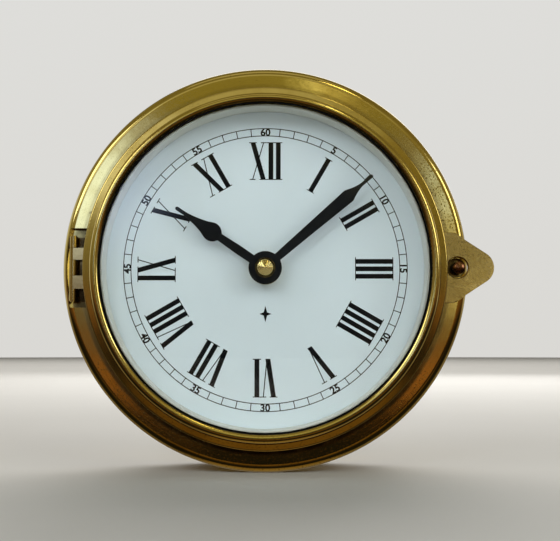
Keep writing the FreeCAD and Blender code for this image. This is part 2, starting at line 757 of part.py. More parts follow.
def stator():
    """A flat iron loop: one limb round the rotor and one through the coil."""
    limb = block(-38, -12.5, 3, 11, STATOR_BACK, STATOR_FRONT)
    core = block(-38, -12.5, CORE_Z - 2, CORE_Z + 2, STATOR_BACK, STATOR_FRONT)
    arms = [block(-38, -34.6, CORE_Z - 2, 11, STATOR_BACK, STATOR_FRONT),
            block(-15.9, -12.5, CORE_Z - 2, 11, STATOR_BACK, STATOR_FRONT)]
    body = joined([limb, core] + arms)
    return body.cut(disc(3.5, STATOR_BACK - 1, STATOR_FRONT + 1, *AT_ROTOR))


def along_x(radius, x0, x1, z, depth):
    return Part.makeCylinder(radius, x1 - x0, Vector(x0, -depth, z), Vector(1, 0, 0))


def coil_bobbin():
    depth = (STATOR_BACK + STATOR_FRONT) / 2
    body = joined([along_x(2.6, -33.5, -17.0, CORE_Z, depth),
                   along_x(4.9, -33.5, -32.7, CORE_Z, depth),
                   along_x(4.9, -17.8, -17.0, CORE_Z, depth)])
    return body.cut(block(-40, -10, CORE_Z - 2, CORE_Z + 2, STATOR_BACK, STATOR_FRONT))


def coil_winding():
    depth = (STATOR_BACK + STATOR_FRONT) / 2
    return along_x(4.5, -32.7, -17.8, CORE_Z, depth).cut(along_x(2.6, -33, -17, CORE_Z, depth))


# ---------------------------------------------------------------- movement housing
def housing_shell(back, front, floor_back, floor_front):
    """Side walls between two depths, and a floor."""
    outer = rounded_plate(-HOUSE_X, HOUSE_X, HOUSE_LOW, HOUSE_HIGH, HOUSE_ROUND, back, front)
    w = HOUSE_WALL
    inner = rounded_plate(-HOUSE_X + w, HOUSE_X - w, HOUSE_LOW + w, HOUSE_HIGH - w,
                          HOUSE_ROUND - w, back - 1, front + 1)
    floor = rounded_plate(-HOUSE_X, HOUSE_X, HOUSE_LOW, HOUSE_HIGH, HOUSE_ROUND,
                          floor_back, floor_front)
    return outer.cut(inner).fuse(floor)


def movement_front_case():
    body = housing_shell(HOUSE_SPLIT, HOUSE_FRONT, BASE_BACK, HOUSE_FRONT)
    body = body.fuse(block(-41.6, 41.6, -20.6, -19.4, HOUSE_SPLIT, BASE_BACK))
    for x, z in CORNER_BOSSES:
        body = body.fuse(disc(3.0, HOUSE_SPLIT, BASE_BACK, x, z))
    for x, z in PILLARS:
        body = body.fuse(disc(PILLAR_R, TRAIN_FRONT, BASE_BACK, x, z))
    for x, z in BOARD_POSTS:
        body = body.fuse(disc(2.2, BOARD_BACK + BOARD_THICK, BASE_BACK, x, z))
    body = body.fuse(disc(0.8, MOTION_WHEEL_BACK - 0.4, BASE_BACK, *AT_MOTION))
    body = body.cut(disc(4.0, BASE_BACK - 1, HOUSE_FRONT + 1))
    body = body.cut(disc(6.0, BASE_BACK - 0.1, BASE_BACK + 0.6))
    for x, z in CORNER_BOSSES:
        body = body.cut(disc(0.9, HOUSE_SPLIT, BASE_BACK - 1, x, z))
    for x, z in PILLARS:
        body = body.cut(disc(0.7, TRAIN_FRONT, TRAIN_FRONT + 6, x, z))
    for x, z in BOARD_POSTS:
        body = body.cut(disc(0.7, BOARD_BACK, BOARD_BACK + BOARD_THICK + 6, x, z))
    for at in (AT_THIRD, AT_SECONDS, AT_INTERMEDIATE, AT_ROTOR):
        body = body.cut(disc(PIVOT_HOLE, BASE_BACK - 0.5, BASE_BACK + 1.0, *at))
    body = body.cut(disc(0.65, BASE_BACK - 0.5, BASE_BACK + 1.1, *AT_SETTING))
    return body.removeSplitter()


def battery_opening(back, front):
    return block(-31.5, 28.5, BATTERY_Z - 7.8, BATTERY_Z + 7.8, back, front)


def movement_back_case():
    body = housing_shell(HOUSE_BACK, HOUSE_SPLIT, HOUSE_BACK, HOUSE_BACK + HOUSE_WALL)
    floor = HOUSE_BACK + HOUSE_WALL
    for z in (BATTERY_Z - 9.4, BATTERY_Z + 8.0):
        body = body.fuse(block(-32.9, 29.9, z, z + 1.4, floor, HOUSE_SPLIT))
    for x in (-32.9, 28.7):
        body = body.fuse(block(x, x + 1.2, BATTERY_Z - 8, BATTERY_Z + 8, floor, HOUSE_SPLIT))
    for x, z in CORNER_BOSSES:
        body = body.fuse(disc(3.0, floor, HOUSE_SPLIT, x, z))
    body = body.cut(battery_opening(HOUSE_BACK - 1, floor + 0.1))
    for x, z in CORNER_BOSSES:
        body = body.cut(disc(1.2, HOUSE_BACK, HOUSE_SPLIT + 1, x, z))
        body = body.cut(disc(2.3, HOUSE_BACK - 1, HOUSE_BACK + 1.4, x, z))
    body = body.cut(disc(1.1, HOUSE_BACK - 1, floor + 1, *AT_SETTING))
    body = body.cut(disc(1.6, HOUSE_BACK - 1, floor + 1, *VOLUME_AT))
    x, z = SWITCH_AT
    half = SWITCH_TRAVEL / 2 + 1.5
    body = body.cut(block(x - 1.5, x + 1.5, z - half, z + half, HOUSE_BACK - 1, floor + 1))
    for x in WIRE_X:
        body = body.cut(Part.makeCylinder(0.55, 4, Vector(x, -WIRE_DEPTH, HOUSE_HIGH - 3),
                                          Vector(0, 0, 1)))
    return body.removeSplitter()


def movement_screws():
    return group([pan_screw(2.2, 1.2, 0.9, 14.0, HOUSE_BACK + 1.4, x, z) for x, z in CORNER_BOSSES])


def train_plate():
    """The rear bearing plate of the going train, on three pillars."""
    body = plate([(15.5, 24.5), (-26.5, 23.0), (-26.5, 16.5), (-20.5, 4.5), (-4.0, -3.5),
                  (-2.0, -16.5), (4.0, -16.5), (5.0, -3.5), (11.0, 6.0), (15.5, 18.0)],
                 TRAIN_BACK, TRAIN_FRONT)
    for at in (AT_THIRD, AT_SECONDS, AT_INTERMEDIATE, AT_ROTOR):
        body = body.cut(disc(PIVOT_HOLE, TRAIN_BACK - 1, TRAIN_FRONT + 1, *at))
    body = body.cut(disc(0.55, TRAIN_BACK - 1, TRAIN_FRONT + 1))
    for x, z in PILLARS:
        body = body.cut(disc(0.7, TRAIN_BACK - 1, TRAIN_FRONT + 1, x, z))
    return body


def small_movement_screws():
    """The screws of the train plate and of the circuit board."""
    screws = [pan_screw(1.6, 0.9, 0.7, 6.0, TRAIN_BACK, x, z) for x, z in PILLARS]
    screws += [pan_screw(1.6, 0.9, 0.7, 6.0, BOARD_BACK, x, z) for x, z in BOARD_POSTS]
    return group(screws)


# ---------------------------------------------------------------- electrical parts
def circuit_board():
    body = block(20.5, 41.0, -14.0, 20.5, BOARD_BACK, BOARD_BACK + BOARD_THICK)
    for x, z in BOARD_POSTS:
        body = body.cut(disc(0.7, BOARD_BACK - 1, BOARD_BACK + 3, x, z))
    return body


def clock_chips():
    """The timekeeping chip and the strike's sound chip, each with two rows of legs."""
    face = BOARD_BACK + BOARD_THICK
    chips = []
    for x, z in ((34.0, 4.0), (31.5, -6.0)):
        chips.append(block(x - 4.5, x + 4.5, z - 2.2, z + 2.2, face + 0.4, face + 2.4))
        for n in range(4):
            for side in (-1, 1):
                leg = x - 3.6 + 2.4 * n
                end = z + side * 2.2
                low, high = sorted((end, end + side * 0.9))
                chips.append(block(leg - 0.3, leg + 0.3, low, high, face, face + 1.6))
    return group(chips)


def quartz_crystal():
    return Part.makeCylinder(1.5, 8.0, Vector(25.0, -(BOARD_BACK + BOARD_THICK + 1.5), -6.0),
                             Vector(0, 0, 1))


def capacitors():
    face = BOARD_BACK + BOARD_THICK
    return group([disc(2.5, face, face + 7, 31.0, 15.0), disc(2.0, face, face + 5, 37.5, 15.0)])


def battery():
    body = along_x(BATTERY_R, -BATTERY_LONG / 2, BATTERY_LONG / 2, BATTERY_Z, BATTERY_DEPTH)
    nub = along_x(2.75, BATTERY_LONG / 2, BATTERY_LONG / 2 + BATTERY_NUB, BATTERY_Z, BATTERY_DEPTH)
    return joined([body, nub])


def battery_positive_contact():
    x = BATTERY_LONG / 2 + BATTERY_NUB
    return block(x, x + 0.4, BATTERY_Z - 4.5, BATTERY_Z + 4.5, 11.0, 22.0).fuse(
        block(x, 28.7, BATTERY_Z - 4.5, BATTERY_Z + 4.5, 21.6, 22.0)).removeSplitter()


def battery_negative_spring():
    x = -BATTERY_LONG / 2 - 0.4
    return coil_spring(3.4, 0.35, 1.6, 7, Vector(x, -BATTERY_DEPTH, BATTERY_Z), Vector(-1, 0, 0))


# ---------------------------------------------------------------- strike controls and loudspeaker
WIRE_X = (-2.0, 2.0)
WIRE_DEPTH = 13.0


def switch_body():
    x, z = SWITCH_AT
    return block(x - 3.0, x + 3.0, z - 6.0, z + 6.0, 11.5, BOARD_BACK)


def switch_slider():
    """Drawn at the low end of its travel, where the strike is silent."""
    x, z = SWITCH_AT
    z -= SWITCH_TRAVEL / 2
    grip = block(x - 1.3, x + 1.3, z - 1.3, z + 1.3, HOUSE_BACK - 1.6, 11.4)
    foot = block(x - 2.6, x + 2.6, z - 2.6, z + 2.6, HOUSE_BACK + HOUSE_WALL + 0.1, 11.4)
    return joined([grip, foot])


def volume_body():
    return ring(1.6, 4.6, 11.2, BOARD_BACK, *VOLUME_AT)


def volume_knob():
    back = HOUSE_BACK - 2.6
    body = joined([disc(4.2, back, HOUSE_BACK - 0.3, *VOLUME_AT), disc(1.5, back, 13.3, *VOLUME_AT)])
    for n in range(16):
        x, z = beside(VOLUME_AT, 4.4, 22.5 * n)
        body = body.cut(disc(0.4, back - 1, HOUSE_BACK, x, z))
    x, z = VOLUME_AT
    return body.cut(block(x - 0.4, x + 0.4, z, z + 4.5, back - 1, back + 0.6))


def speaker_frame():
    """A pressed basket whose rim lies on the back plate."""
    back = PLATE_THICK
    return turned([(SPEAKER_R - 2, back), (SPEAKER_R, back), (SPEAKER_R, back + 1), (17.6, back + 1),
                   (16.0, back + 3.4), (9.2, back + 3.9), (9.2, back + 3.2), (15.2, back + 2.7)],
                  0, SPEAKER_Z)


def speaker_magnet():
    return disc(9.2, PLATE_THICK + 3.9, PLATE_THICK + 6.9, 0, SPEAKER_Z).fuse(
        disc(4.0, PLATE_THICK + 2.2, PLATE_THICK + 3.9, 0, SPEAKER_Z)).removeSplitter()


def speaker_cone():
    back = PLATE_THICK
    return turned([(0, back + 1.7), (3.9, back + 1.6), (4.4, back + 2.3), (16.1, back + 0.4),
                   (16.3, back + 0.6), (4.5, back + 2.6), (3.7, back + 1.9), (0, back + 2.0)],
                  0, SPEAKER_Z)


def speaker_wires():
    """Two leads from the basket down into the top of the housing."""
    bend = 3.0
    start = PLATE_THICK + 3.75
    z = HOUSE_HIGH + 2 + bend
    k = bend * math.sqrt(0.5)
    wires = []
    for x in WIRE_X:
        at = [Vector(x, -start, z), Vector(x, -(WIRE_DEPTH - bend), z),
              Vector(x, -(WIRE_DEPTH - bend + k), z - bend + k),
              Vector(x, -WIRE_DEPTH, z - bend), Vector(x, -WIRE_DEPTH, HOUSE_HIGH - 2.5)]
        path = Part.Wire([Part.LineSegment(at[0], at[1]).toShape(), Part.Arc(at[1], at[2], at[3]).toShape(),
                          Part.LineSegment(at[3], at[4]).toShape()])
        section = Part.Wire(Part.makeCircle(0.5, at[0], FORWARD))
        wires.append(path.makePipeShell([section], True, False))
    return group(wires)


NODES = {
    "case_body": case_body,
    "back_plate": back_plate,
    "back_plate_screws": back_plate_screws,
    "bezel_gasket": bezel_gasket,
    "hinge_case_leaf": hinge_case_leaf,
    "hinge_case_screws": hinge_case_screws,
    "hinge_pin": hinge_pin,
    "hinge_bezel_leaf": hinge_bezel_leaf,
    "hinge_bezel_screws": hinge_bezel_screws,
    "bezel_ring": bezel_ring,
    "bezel_tab": bezel_tab,
    "bezel_tab_screws": bezel_tab_screws,
    "glass": glass,
    "glass_gasket": glass_gasket,
    "glass_retainer": glass_retainer,
    "catch_stud": catch_stud,
    "catch_spring": catch_spring,
    "dial": dial,
    "dial_ring": dial_ring,
    "dial_nut": dial_nut,
    "centre_bush": centre_bush,
    "minute_hand": minute_hand,
    "hour_hand": hour_hand,
    "hand_nut": hand_nut,
    "minute_arbor": minute_arbor,
    "hour_wheel": hour_wheel,
    "motion_wheel": motion_wheel,
    "setting_knob": setting_knob,
    "centre_wheel": centre_wheel,
    "clutch_spring": clutch_spring,
    "third_wheel": third_wheel,
    "seconds_wheel": seconds_wheel,
    "intermediate_wheel": intermediate_wheel,
    "rotor": rotor,
    "stator": stator,
    "coil_bobbin": coil_bobbin,
    "coil_winding": coil_winding,
    "movement_front_case": movement_front_case,
    "movement_back_case": movement_back_case,
    "movement_screws": movement_screws,
    "train_plate": train_plate,
    "small_movement_screws": small_movement_screws,
    "circuit_board": circuit_board,
    "clock_chips": clock_chips,
    "quartz_crystal": quartz_crystal,
    "capacitors": capacitors,
    "battery": battery,
    "battery_positive_contact": battery_positive_contact,
    "battery_negative_spring": battery_negative_spring,
    "switch_body": switch_body,
    "switch_slider": switch_slider,
    "volume_body": volume_body,
    "volume_knob": volume_knob,
    "speaker_frame": speaker_frame,
    "speaker_magnet": speaker_magnet,
    "speaker_cone": speaker_cone,
    "speaker_wires": speaker_wires,
}

os.makedirs("parts", exist_ok=True)
for name, make in NODES.items():
    shape = make()
    if not shape.isValid() or not shape.Solids:
        raise RuntimeError(name + " is not a valid solid")
    if any(solid.Volume <= 0 for solid in shape.Solids):
        raise RuntimeError(name + " is inside out")
    shape.exportStep("parts/" + name + ".step")
    print("%-26s %3d solids %10.2f mm3" % (name, len(shape.Solids), shape.Volume))
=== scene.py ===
import json
import math
import random

import bmesh
import bpy
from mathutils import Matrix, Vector


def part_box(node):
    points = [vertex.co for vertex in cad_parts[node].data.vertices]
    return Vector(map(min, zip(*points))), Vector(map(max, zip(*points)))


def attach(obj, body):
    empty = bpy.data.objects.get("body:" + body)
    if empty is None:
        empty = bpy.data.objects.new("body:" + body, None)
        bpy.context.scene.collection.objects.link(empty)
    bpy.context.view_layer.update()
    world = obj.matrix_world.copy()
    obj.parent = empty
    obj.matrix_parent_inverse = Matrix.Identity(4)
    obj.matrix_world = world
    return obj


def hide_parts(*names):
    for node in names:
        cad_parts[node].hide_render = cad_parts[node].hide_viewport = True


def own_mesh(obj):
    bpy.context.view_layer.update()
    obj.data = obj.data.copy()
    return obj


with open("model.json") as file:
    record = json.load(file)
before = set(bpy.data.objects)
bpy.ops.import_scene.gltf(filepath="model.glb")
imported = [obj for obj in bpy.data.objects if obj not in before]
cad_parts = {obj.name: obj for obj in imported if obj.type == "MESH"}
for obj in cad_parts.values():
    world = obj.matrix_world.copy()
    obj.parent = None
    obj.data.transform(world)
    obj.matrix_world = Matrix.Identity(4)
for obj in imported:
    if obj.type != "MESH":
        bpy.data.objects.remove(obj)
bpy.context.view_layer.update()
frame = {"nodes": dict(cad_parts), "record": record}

MM = 0.001
NODES = frame["nodes"]
SEGMENTS = 288          # of each large turned piece
GENTLE_BEND = 22        # degrees; a corner that turns less isn't rounded
CREASE = 40             # degrees; an edge that turns more is shaded sharp

# ------------------------------------------------------------------ sizes, from the frame, in mm


def size_of(node):
    """A node's lowest and highest corners. Depths are -y, so the front is the lowest y."""
    low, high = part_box(node)
    return Vector(low) / MM, Vector(high) / MM


case_low, case_high = size_of("case_body")
CASE_R = case_high.x
SHOULDER = -case_low.y
bezel_low, bezel_high = size_of("bezel_ring")
BEZEL_R = bezel_high.x
BEZEL_FLOOR = -bezel_high.y
BEZEL_TOP = -bezel_low.y
glass_low, glass_high = size_of("glass")
GLASS_R = glass_high.x
GLASS_FRONT = -glass_low.y
GLASS_BACK = -glass_high.y
dial_low, dial_high = size_of("dial")
DIAL_R = dial_high.x
DIAL_FRONT = -dial_low.y
DIAL_BACK = -dial_high.y
gasket_low, gasket_high = size_of("glass_gasket")
SEAL_FRONT = -gasket_low.y
SEAL_R = gasket_high.x
SEAL_IN = 60.3          # inner radius of the glass gasket
ring_low, ring_high = size_of("dial_ring")
RING_FOOT_R = ring_high.x
RING_TOP = -ring_low.y
TAB_FRONT = -size_of("bezel_tab")[0].y
nut_low, nut_high = size_of("hand_nut")
NUT_R = nut_high.x
NUT_BACK = -nut_high.y
NUT_FRONT = -nut_low.y
stud_low, stud_high = size_of("catch_stud")
STUD_X = (stud_low.x + stud_high.x) / 2
STUD_R = (stud_high.x - stud_low.x) / 2
STUD_FRONT = -stud_low.y

# ------------------------------------------------------------------ mesh helpers


def arc_points(a, middle, b, steps=10):
    """Points on the circle through three points, after a and up to b."""
    ax, ay = a
    mx, my = middle
    bx, by = b
    d = 2 * (ax * (my - by) + mx * (by - ay) + bx * (ay - my))
    sa, sm, sb = ax * ax + ay * ay, mx * mx + my * my, bx * bx + by * by
    cx = (sa * (my - by) + sm * (by - ay) + sb * (ay - my)) / d
    cy = (sa * (bx - mx) + sm * (ax - bx) + sb * (mx - ax)) / d
    r = math.hypot(ax - cx, ay - cy)
    start = math.atan2(ay - cy, ax - cx)
    mid_turn = (math.atan2(my - cy, mx - cx) - start) % math.tau
    turn = (math.atan2(by - cy, bx - cx) - start) % math.tau
    if mid_turn > turn:
        turn -= math.tau
    return [(cx + r * math.cos(start + turn * k / steps), cy + r * math.sin(start + turn * k / steps))
            for k in range(1, steps + 1)]


def traced(points, steps=10):
    """A closed outline as plain points. A point is (a, b); an arc is ((mid a, mid b), (end a, end b))."""
    line = [points[0]]
    for step in points[1:]:
        if isinstance(step[0], tuple):
            line += arc_points(line[-1], step[0], step[1], steps)
        else:
            line.append(step)
    return line


def eased(line, ease, closed=True, steps=3):
    """The same outline with its sharp corners rounded, each over a share of its sides at most."""
    side_share = 0.42
    out = []
    count = len(line)
    for k, p in enumerate(line):
        if not closed and k in (0, count - 1):
            out.append(p)
            continue
        p = Vector(p)
        a, b = Vector(line[k - 1]) - p, Vector(line[(k + 1) % count]) - p
        if a.length < 1e-6 or b.length < 1e-6 or a.angle(-b) < math.radians(GENTLE_BEND):
            out.append(tuple(p))
            continue
        cut = min(ease, side_share * a.length, side_share * b.length)
        start, end = p + a.normalized() * cut, p + b.normalized() * cut
        for n in range(steps + 1):
            t = n / steps
            q = start * (1 - t) ** 2 + p * 2 * t * (1 - t) + end * t ** 2
            out.append(tuple(q))
    return out


def finish_mesh(name, bm, material, body, smooth=True):
    """A piece from a bmesh, which is freed. Without a body it is only a tool for cutting."""
    bmesh.ops.recalc_face_normals(bm, faces=bm.faces[:])
    mesh = bpy.data.meshes.new(name)
    bm.to_mesh(mesh)
    bm.free()
    piece = bpy.data.objects.new(name, mesh)
    bpy.context.scene.collection.objects.link(piece)
    if smooth:
        mesh.polygons.foreach_set("use_smooth", [True] * len(mesh.polygons))
    if material:
        mesh.materials.append(material)
    if body:
        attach(piece, body)
    return piece


def lathe_mesh(line, closed=True, centre=(0.0, 0.0), segments=SEGMENTS):
    """A bmesh turned about the clock's axis from (radius, depth) points in mm."""
    bm = bmesh.new()
    rings = []
    for r, depth in line:
        if r < 1e-6:
            rings.append([bm.verts.new((centre[0] * MM, -depth * MM, centre[1] * MM))])
            continue
        ring = []
        for n in range(segments):
            a = math.tau * n / segments
            ring.append(bm.verts.new(((centre[0] + r * math.cos(a)) * MM, -depth * MM,
                                      (centre[1] + r * math.sin(a)) * MM)))
        rings.append(ring)
    pairs = list(zip(rings, rings[1:]))
    if closed:
        pairs.append((rings[-1], rings[0]))
    for lower, upper in pairs:
        if len(lower) == 1 and len(upper) == 1:
            continue
        for n in range(segments):
            m = (n + 1) % segments
            if len(lower) == 1:
                bm.faces.new((lower[0], upper[m], upper[n]))
            elif len(upper) == 1:
                bm.faces.new((lower[n], lower[m], upper[0]))
            else:
                bm.faces.new((lower[n], lower[m], upper[m], upper[n]))
    return bm


def weighted(piece):
    """Large faces set the shading, so that flats look flat next to small rounded edges."""
    normals = piece.modifiers.new("normals", "WEIGHTED_NORMAL")
    normals.keep_sharp = True
    normals.weight = 60
    return piece


def lathe(name, points, material, body, ease=0.25, centre=(0.0, 0.0), segments=SEGMENTS,
          steps=10):
    """A turned piece from (radius, depth) points, with its edges eased."""
    line = traced(points, steps)
    closed = line[0][0] > 1e-6
    line = eased(line, ease, closed)
    bm = lathe_mesh(line, closed, centre, segments)
    return weighted(finish_mesh(name, bm, material, body))


def slab_mesh(line, back, front, bevel=0.0, steps=2):
    """A bmesh of a flat piece with an (x, z) outline between two depths, its front edge bevelled."""
    bm = bmesh.new()
    low = [bm.verts.new((x * MM, -back * MM, z * MM)) for x, z in line]
    high = [bm.verts.new((x * MM, -front * MM, z * MM)) for x, z in line]
    count = len(line)
    bm.faces.new(low)
    top = bm.faces.new(list(reversed(high)))
    for n in range(count):
        m = (n + 1) % count
        bm.faces.new((low[m], low[n], high[n], high[m]))
    if bevel:
        edges = list(top.edges)
        bmesh.ops.bevel(bm, geom=edges, offset=bevel * MM, segments=steps, profile=0.5,
                        affect="EDGES", clamp_overlap=True)
    return bm


def carved(piece, cutters):
    """The piece with each cutter's bmesh taken away, as a plain mesh."""
    tools = []
    for k, bm in enumerate(cutters):
        tool = finish_mesh(piece.name + "_cutter" + str(k), bm, None, None, smooth=False)
        tools.append(tool)
        cut = piece.modifiers.new("cut" + str(k), "BOOLEAN")
        cut.operation = "DIFFERENCE"
        cut.solver = "EXACT"
        cut.object = tool
        piece.modifiers.move(len(piece.modifiers) - 1, k)
    weighted_normals = piece.modifiers.get("normals")
    if weighted_normals:
        piece.modifiers.remove(weighted_normals)
    graph = bpy.context.evaluated_depsgraph_get()
    mesh = bpy.data.meshes.new_from_object(piece.evaluated_get(graph))
    piece.modifiers.clear()
    piece.data = mesh
    for tool in tools:
        bpy.data.objects.remove(tool)
    bm = bmesh.new()
    bm.from_mesh(mesh)
    for edge in bm.edges:
        if len(edge.link_faces) == 2 and edge.calc_face_angle(0) > math.radians(CREASE):
            edge.smooth = False
    bm.to_mesh(mesh)
    bm.free()
    return weighted(piece)


def box_mesh(x0, x1, z0, z1, back, front):
    """A bmesh of a plain block, for cutting."""
    return slab_mesh([(x0, z0), (x1, z0), (x1, z1), (x0, z1)], back, front)


def circle_line(radius, x=0.0, count=64):
    """A circle's outline, level with the clock's axis."""
    return [(x + radius * math.cos(math.tau * n / count), radius * math.sin(math.tau * n / count))
            for n in range(count)]


# ------------------------------------------------------------------ material helpers


class Surface:
    """A new material with one Principled shader and short ways to add nodes to it."""

    def __init__(self, name, **inputs):
        self.material = bpy.data.materials.new(name)
        self.material.use_nodes = True
        self.tree = self.material.node_tree
        self.shader = self.tree.nodes["Principled BSDF"]
        for key, value in inputs.items():
            self.shader.inputs[key.replace("_", " ")].default_value = value
        self.coords = self.tree.nodes.new("ShaderNodeTexCoord").outputs["Object"]

    def node(self, kind, **settings):
        made = self.tree.nodes.new(kind)
        for key, value in settings.items():
            setattr(made, key, value)
        return made

    def link(self, output, socket):
        self.tree.links.new(output, socket)

    def math(self, operation, a, b=None, c=None):
        made = self.node("ShaderNodeMath", operation=operation)
        for k, value in enumerate((a, b, c)):
            if value is None:
                continue
            if isinstance(value, (int, float)):
                made.inputs[k].default_value = value
            else:
                self.link(value, made.inputs[k])
        return made.outputs[0]

    def noise(self, scale, detail=4.0, roughness=0.55, vector=None, w=None):
        made = self.node("ShaderNodeTexNoise", noise_dimensions="4D" if w is not None else "3D")
        made.inputs["Scale"].default_value = scale
        made.inputs["Detail"].default_value = detail
        made.inputs["Roughness"].default_value = roughness
        self.link(vector if vector is not None else self.coords, made.inputs["Vector"])
        if w is not None:
            self.link(w, made.inputs["W"])
        return made.outputs["Fac"]

    def spread(self, value, low, high, to_low=0.0, to_high=1.0):
        """The value's range from low to high, spread smoothly over a new range."""
        made = self.node("ShaderNodeMapRange", interpolation_type="SMOOTHSTEP")
        self.link(value, made.inputs["Value"])
        for key, number in (("From Min", low), ("From Max", high), ("To Min", to_low), ("To Max", to_high)):
            made.inputs[key].default_value = number
        return made.outputs["Result"]

    def blend(self, factor, a, b):
        made = self.node("ShaderNodeMix", data_type="RGBA")
        self.link(factor, made.inputs[0])
        for socket, value in ((made.inputs[6], a), (made.inputs[7], b)):
            if isinstance(value, tuple):
                socket.default_value = (*value, 1.0)
            else:
                self.link(value, socket)
        return made.outputs[2]

    def bump(self, height, strength, distance, before=None):
        made = self.node("ShaderNodeBump")
        made.inputs["Strength"].default_value = strength
        made.inputs["Distance"].default_value = distance
        self.link(height, made.inputs["Height"])
        if before is not None:
            self.link(before, made.inputs["Normal"])
        return made.outputs["Normal"]

    def split(self):
        made = self.node("ShaderNodeSeparateXYZ")
        self.link(self.coords, made.inputs[0])
        return made.outputs

    def join(self, x, y, z):
        made = self.node("ShaderNodeCombineXYZ")
        for k, value in enumerate((x, y, z)):
            self.link(value, made.inputs[k])
        return made.outputs[0]

    def radius(self):
        """Distance from the clock's axis."""
        x, _, z = self.split()
        return self.math("SQRT", self.math("ADD", self.math("MULTIPLY", x, x),
                                           self.math("MULTIPLY", z, z)))

    def turned_noise(self, fineness, run):
        """Noise drawn out round the clock's axis, as a lathe tool leaves it."""
        x, y, z = self.split()
        radius = self.radius()
        safe = self.math("MAXIMUM", radius, 1e-5)
        around = self.join(self.math("MULTIPLY", self.math("DIVIDE", x, safe), run),
                           self.math("MULTIPLY", self.math("DIVIDE", z, safe), run),
                           self.math("MULTIPLY", radius, fineness))
        return self.noise(1.0, 3.0, 0.6, vector=around, w=self.math("MULTIPLY", y, fineness))


BRASS_LIGHT = (0.74, 0.60, 0.22)
BRASS_DEEP = (0.54, 0.39, 0.10)
BRASS_TARNISH = (0.16, 0.105, 0.035)
# painted shade: the colour of the dark rings in grooves, recesses and below the bezel
BRASS_PAINTED_SHADE = (0.030, 0.018, 0.007)
TURNED_RUN = 2.5        # how far the turned lines' noise changes in going once round
PAINTED_SHADE_FADE = (2, 8)     # mm behind its ring's front, where the painted shade thins out


def brass(name, light=BRASS_LIGHT, deep=BRASS_DEEP, roughness=(0.20, 0.33), fineness=2600.0,
          lines=0.35, tarnish=1.0, turned=True, anisotropic=0.35, painted_shade=()):
    """Polished brass gone slightly dull: turned lines, clouds, clusters of fine pits, and painted shade.
    painted_shade lists dark rings painted into grooves, recesses and corners and below the bezel, heavier
    on the
    lower side: radius, half width, the depth it reaches forward to, its weight, and the share of it above
    the centre."""
    s = Surface(name, Metallic=1.0, Anisotropic=anisotropic)
    clouds = s.noise(17.0, 4.0, 0.5)
    veil = s.noise(75.0, 5.0, 0.55)
    grain = s.turned_noise(fineness, TURNED_RUN) if turned else s.noise(1400.0, 3.0)
    mix = s.math("ADD", s.math("MULTIPLY", clouds, 0.72), s.math("MULTIPLY", veil, 0.28))
    mix = s.math("ADD", mix, s.math("MULTIPLY", s.math("SUBTRACT", grain, 0.5), 0.3 * lines))
    colour = s.blend(s.spread(mix, 0.38, 0.64), light, deep)
    crowd = s.spread(s.noise(22.0, 2.0, 0.5), 0.44, 0.64)
    pits = s.spread(s.noise(1500.0, 2.0, 0.5), 0.57, 0.68)
    pits = s.math("MULTIPLY", pits, s.math("MULTIPLY_ADD", crowd, 0.62 * tarnish, 0.10 * tarnish))
    colour = s.blend(pits, colour, BRASS_TARNISH)
    spots = s.spread(s.noise(300.0, 3.0, 0.6), 0.70, 0.76, 0.0, 0.6 * tarnish)
    colour = s.blend(spots, colour, BRASS_TARNISH)
    rough = s.spread(mix, 0.36, 0.66, *roughness)
    rough = s.math("ADD", rough, s.math("MULTIPLY", pits, 0.15))
    if painted_shade:
        _, y, z = s.split()
        radius = s.radius()
    # Painted shade: each ring darkens a groove, recess or corner, more on the lower side as if lit from
    # above.
    for ring_r, half, front, weight, above in painted_shade:
        low = s.spread(z, -0.075, 0.03, 1.0, above)
        away = s.math("ABSOLUTE", s.math("SUBTRACT", radius, ring_r * MM))
        fade_from, fade_to = ((mm - front) * MM for mm in PAINTED_SHADE_FADE)
        near = s.spread(away, 0.25 * half * MM, half * MM, 1.0, 0.0)
        near = s.math("MULTIPLY", near, s.math("GREATER_THAN", y, -front * MM))
        near = s.math("MULTIPLY", near, s.spread(y, fade_from, fade_to, 1.0, 0.0))
        near = s.math("MULTIPLY", near, s.spread(s.noise(160.0, 4.0, 0.6), 0.25, 0.55, 0.6, 1.0))
        near = s.math("MULTIPLY", s.math("MULTIPLY", near, low), weight)
        colour = s.blend(near, colour, BRASS_PAINTED_SHADE)
        rough = s.math("ADD", rough, s.math("MULTIPLY", near, 0.12))
    s.link(colour, s.shader.inputs["Base Color"])
    s.link(s.math("MINIMUM", rough, 0.9), s.shader.inputs["Roughness"])
    dents = s.bump(s.noise(95.0, 3.0, 0.5), 0.08, 0.0004)
    pitted = s.bump(pits, 0.25, 0.00004, dents)
    scratches = s.bump(grain, lines, 0.00003, pitted)
    s.link(scratches, s.shader.inputs["Normal"])
    if anisotropic:
        tangent = s.node("ShaderNodeTangent", direction_type="RADIAL", axis="Y")
        s.link(tangent.outputs[0], s.shader.inputs["Tangent"])
    return s.material


def moulded(name, colour, roughness, grain=900.0, depth=0.00006, strength=0.35, lift=1.35,
            shine=0.5):
    """Moulded plastic with a fine spark-eroded grain and faint handling marks."""
    s = Surface(name)
    s.shader.inputs["Specular IOR Level"].default_value = shine
    fine = s.noise(grain, 3.0, 0.5)
    broad = s.noise(40.0, 5.0, 0.6)
    s.link(s.blend(s.spread(broad, 0.35, 0.7), colour, tuple(min(1.0, c * lift) for c in colour)),
           s.shader.inputs["Base Color"])
    s.link(s.spread(s.noise(70.0, 6.0, 0.65), 0.3, 0.75, roughness - 0.06, roughness + 0.10),
           s.shader.inputs["Roughness"])
    s.link(s.bump(fine, strength, depth), s.shader.inputs["Normal"])
    return s.material


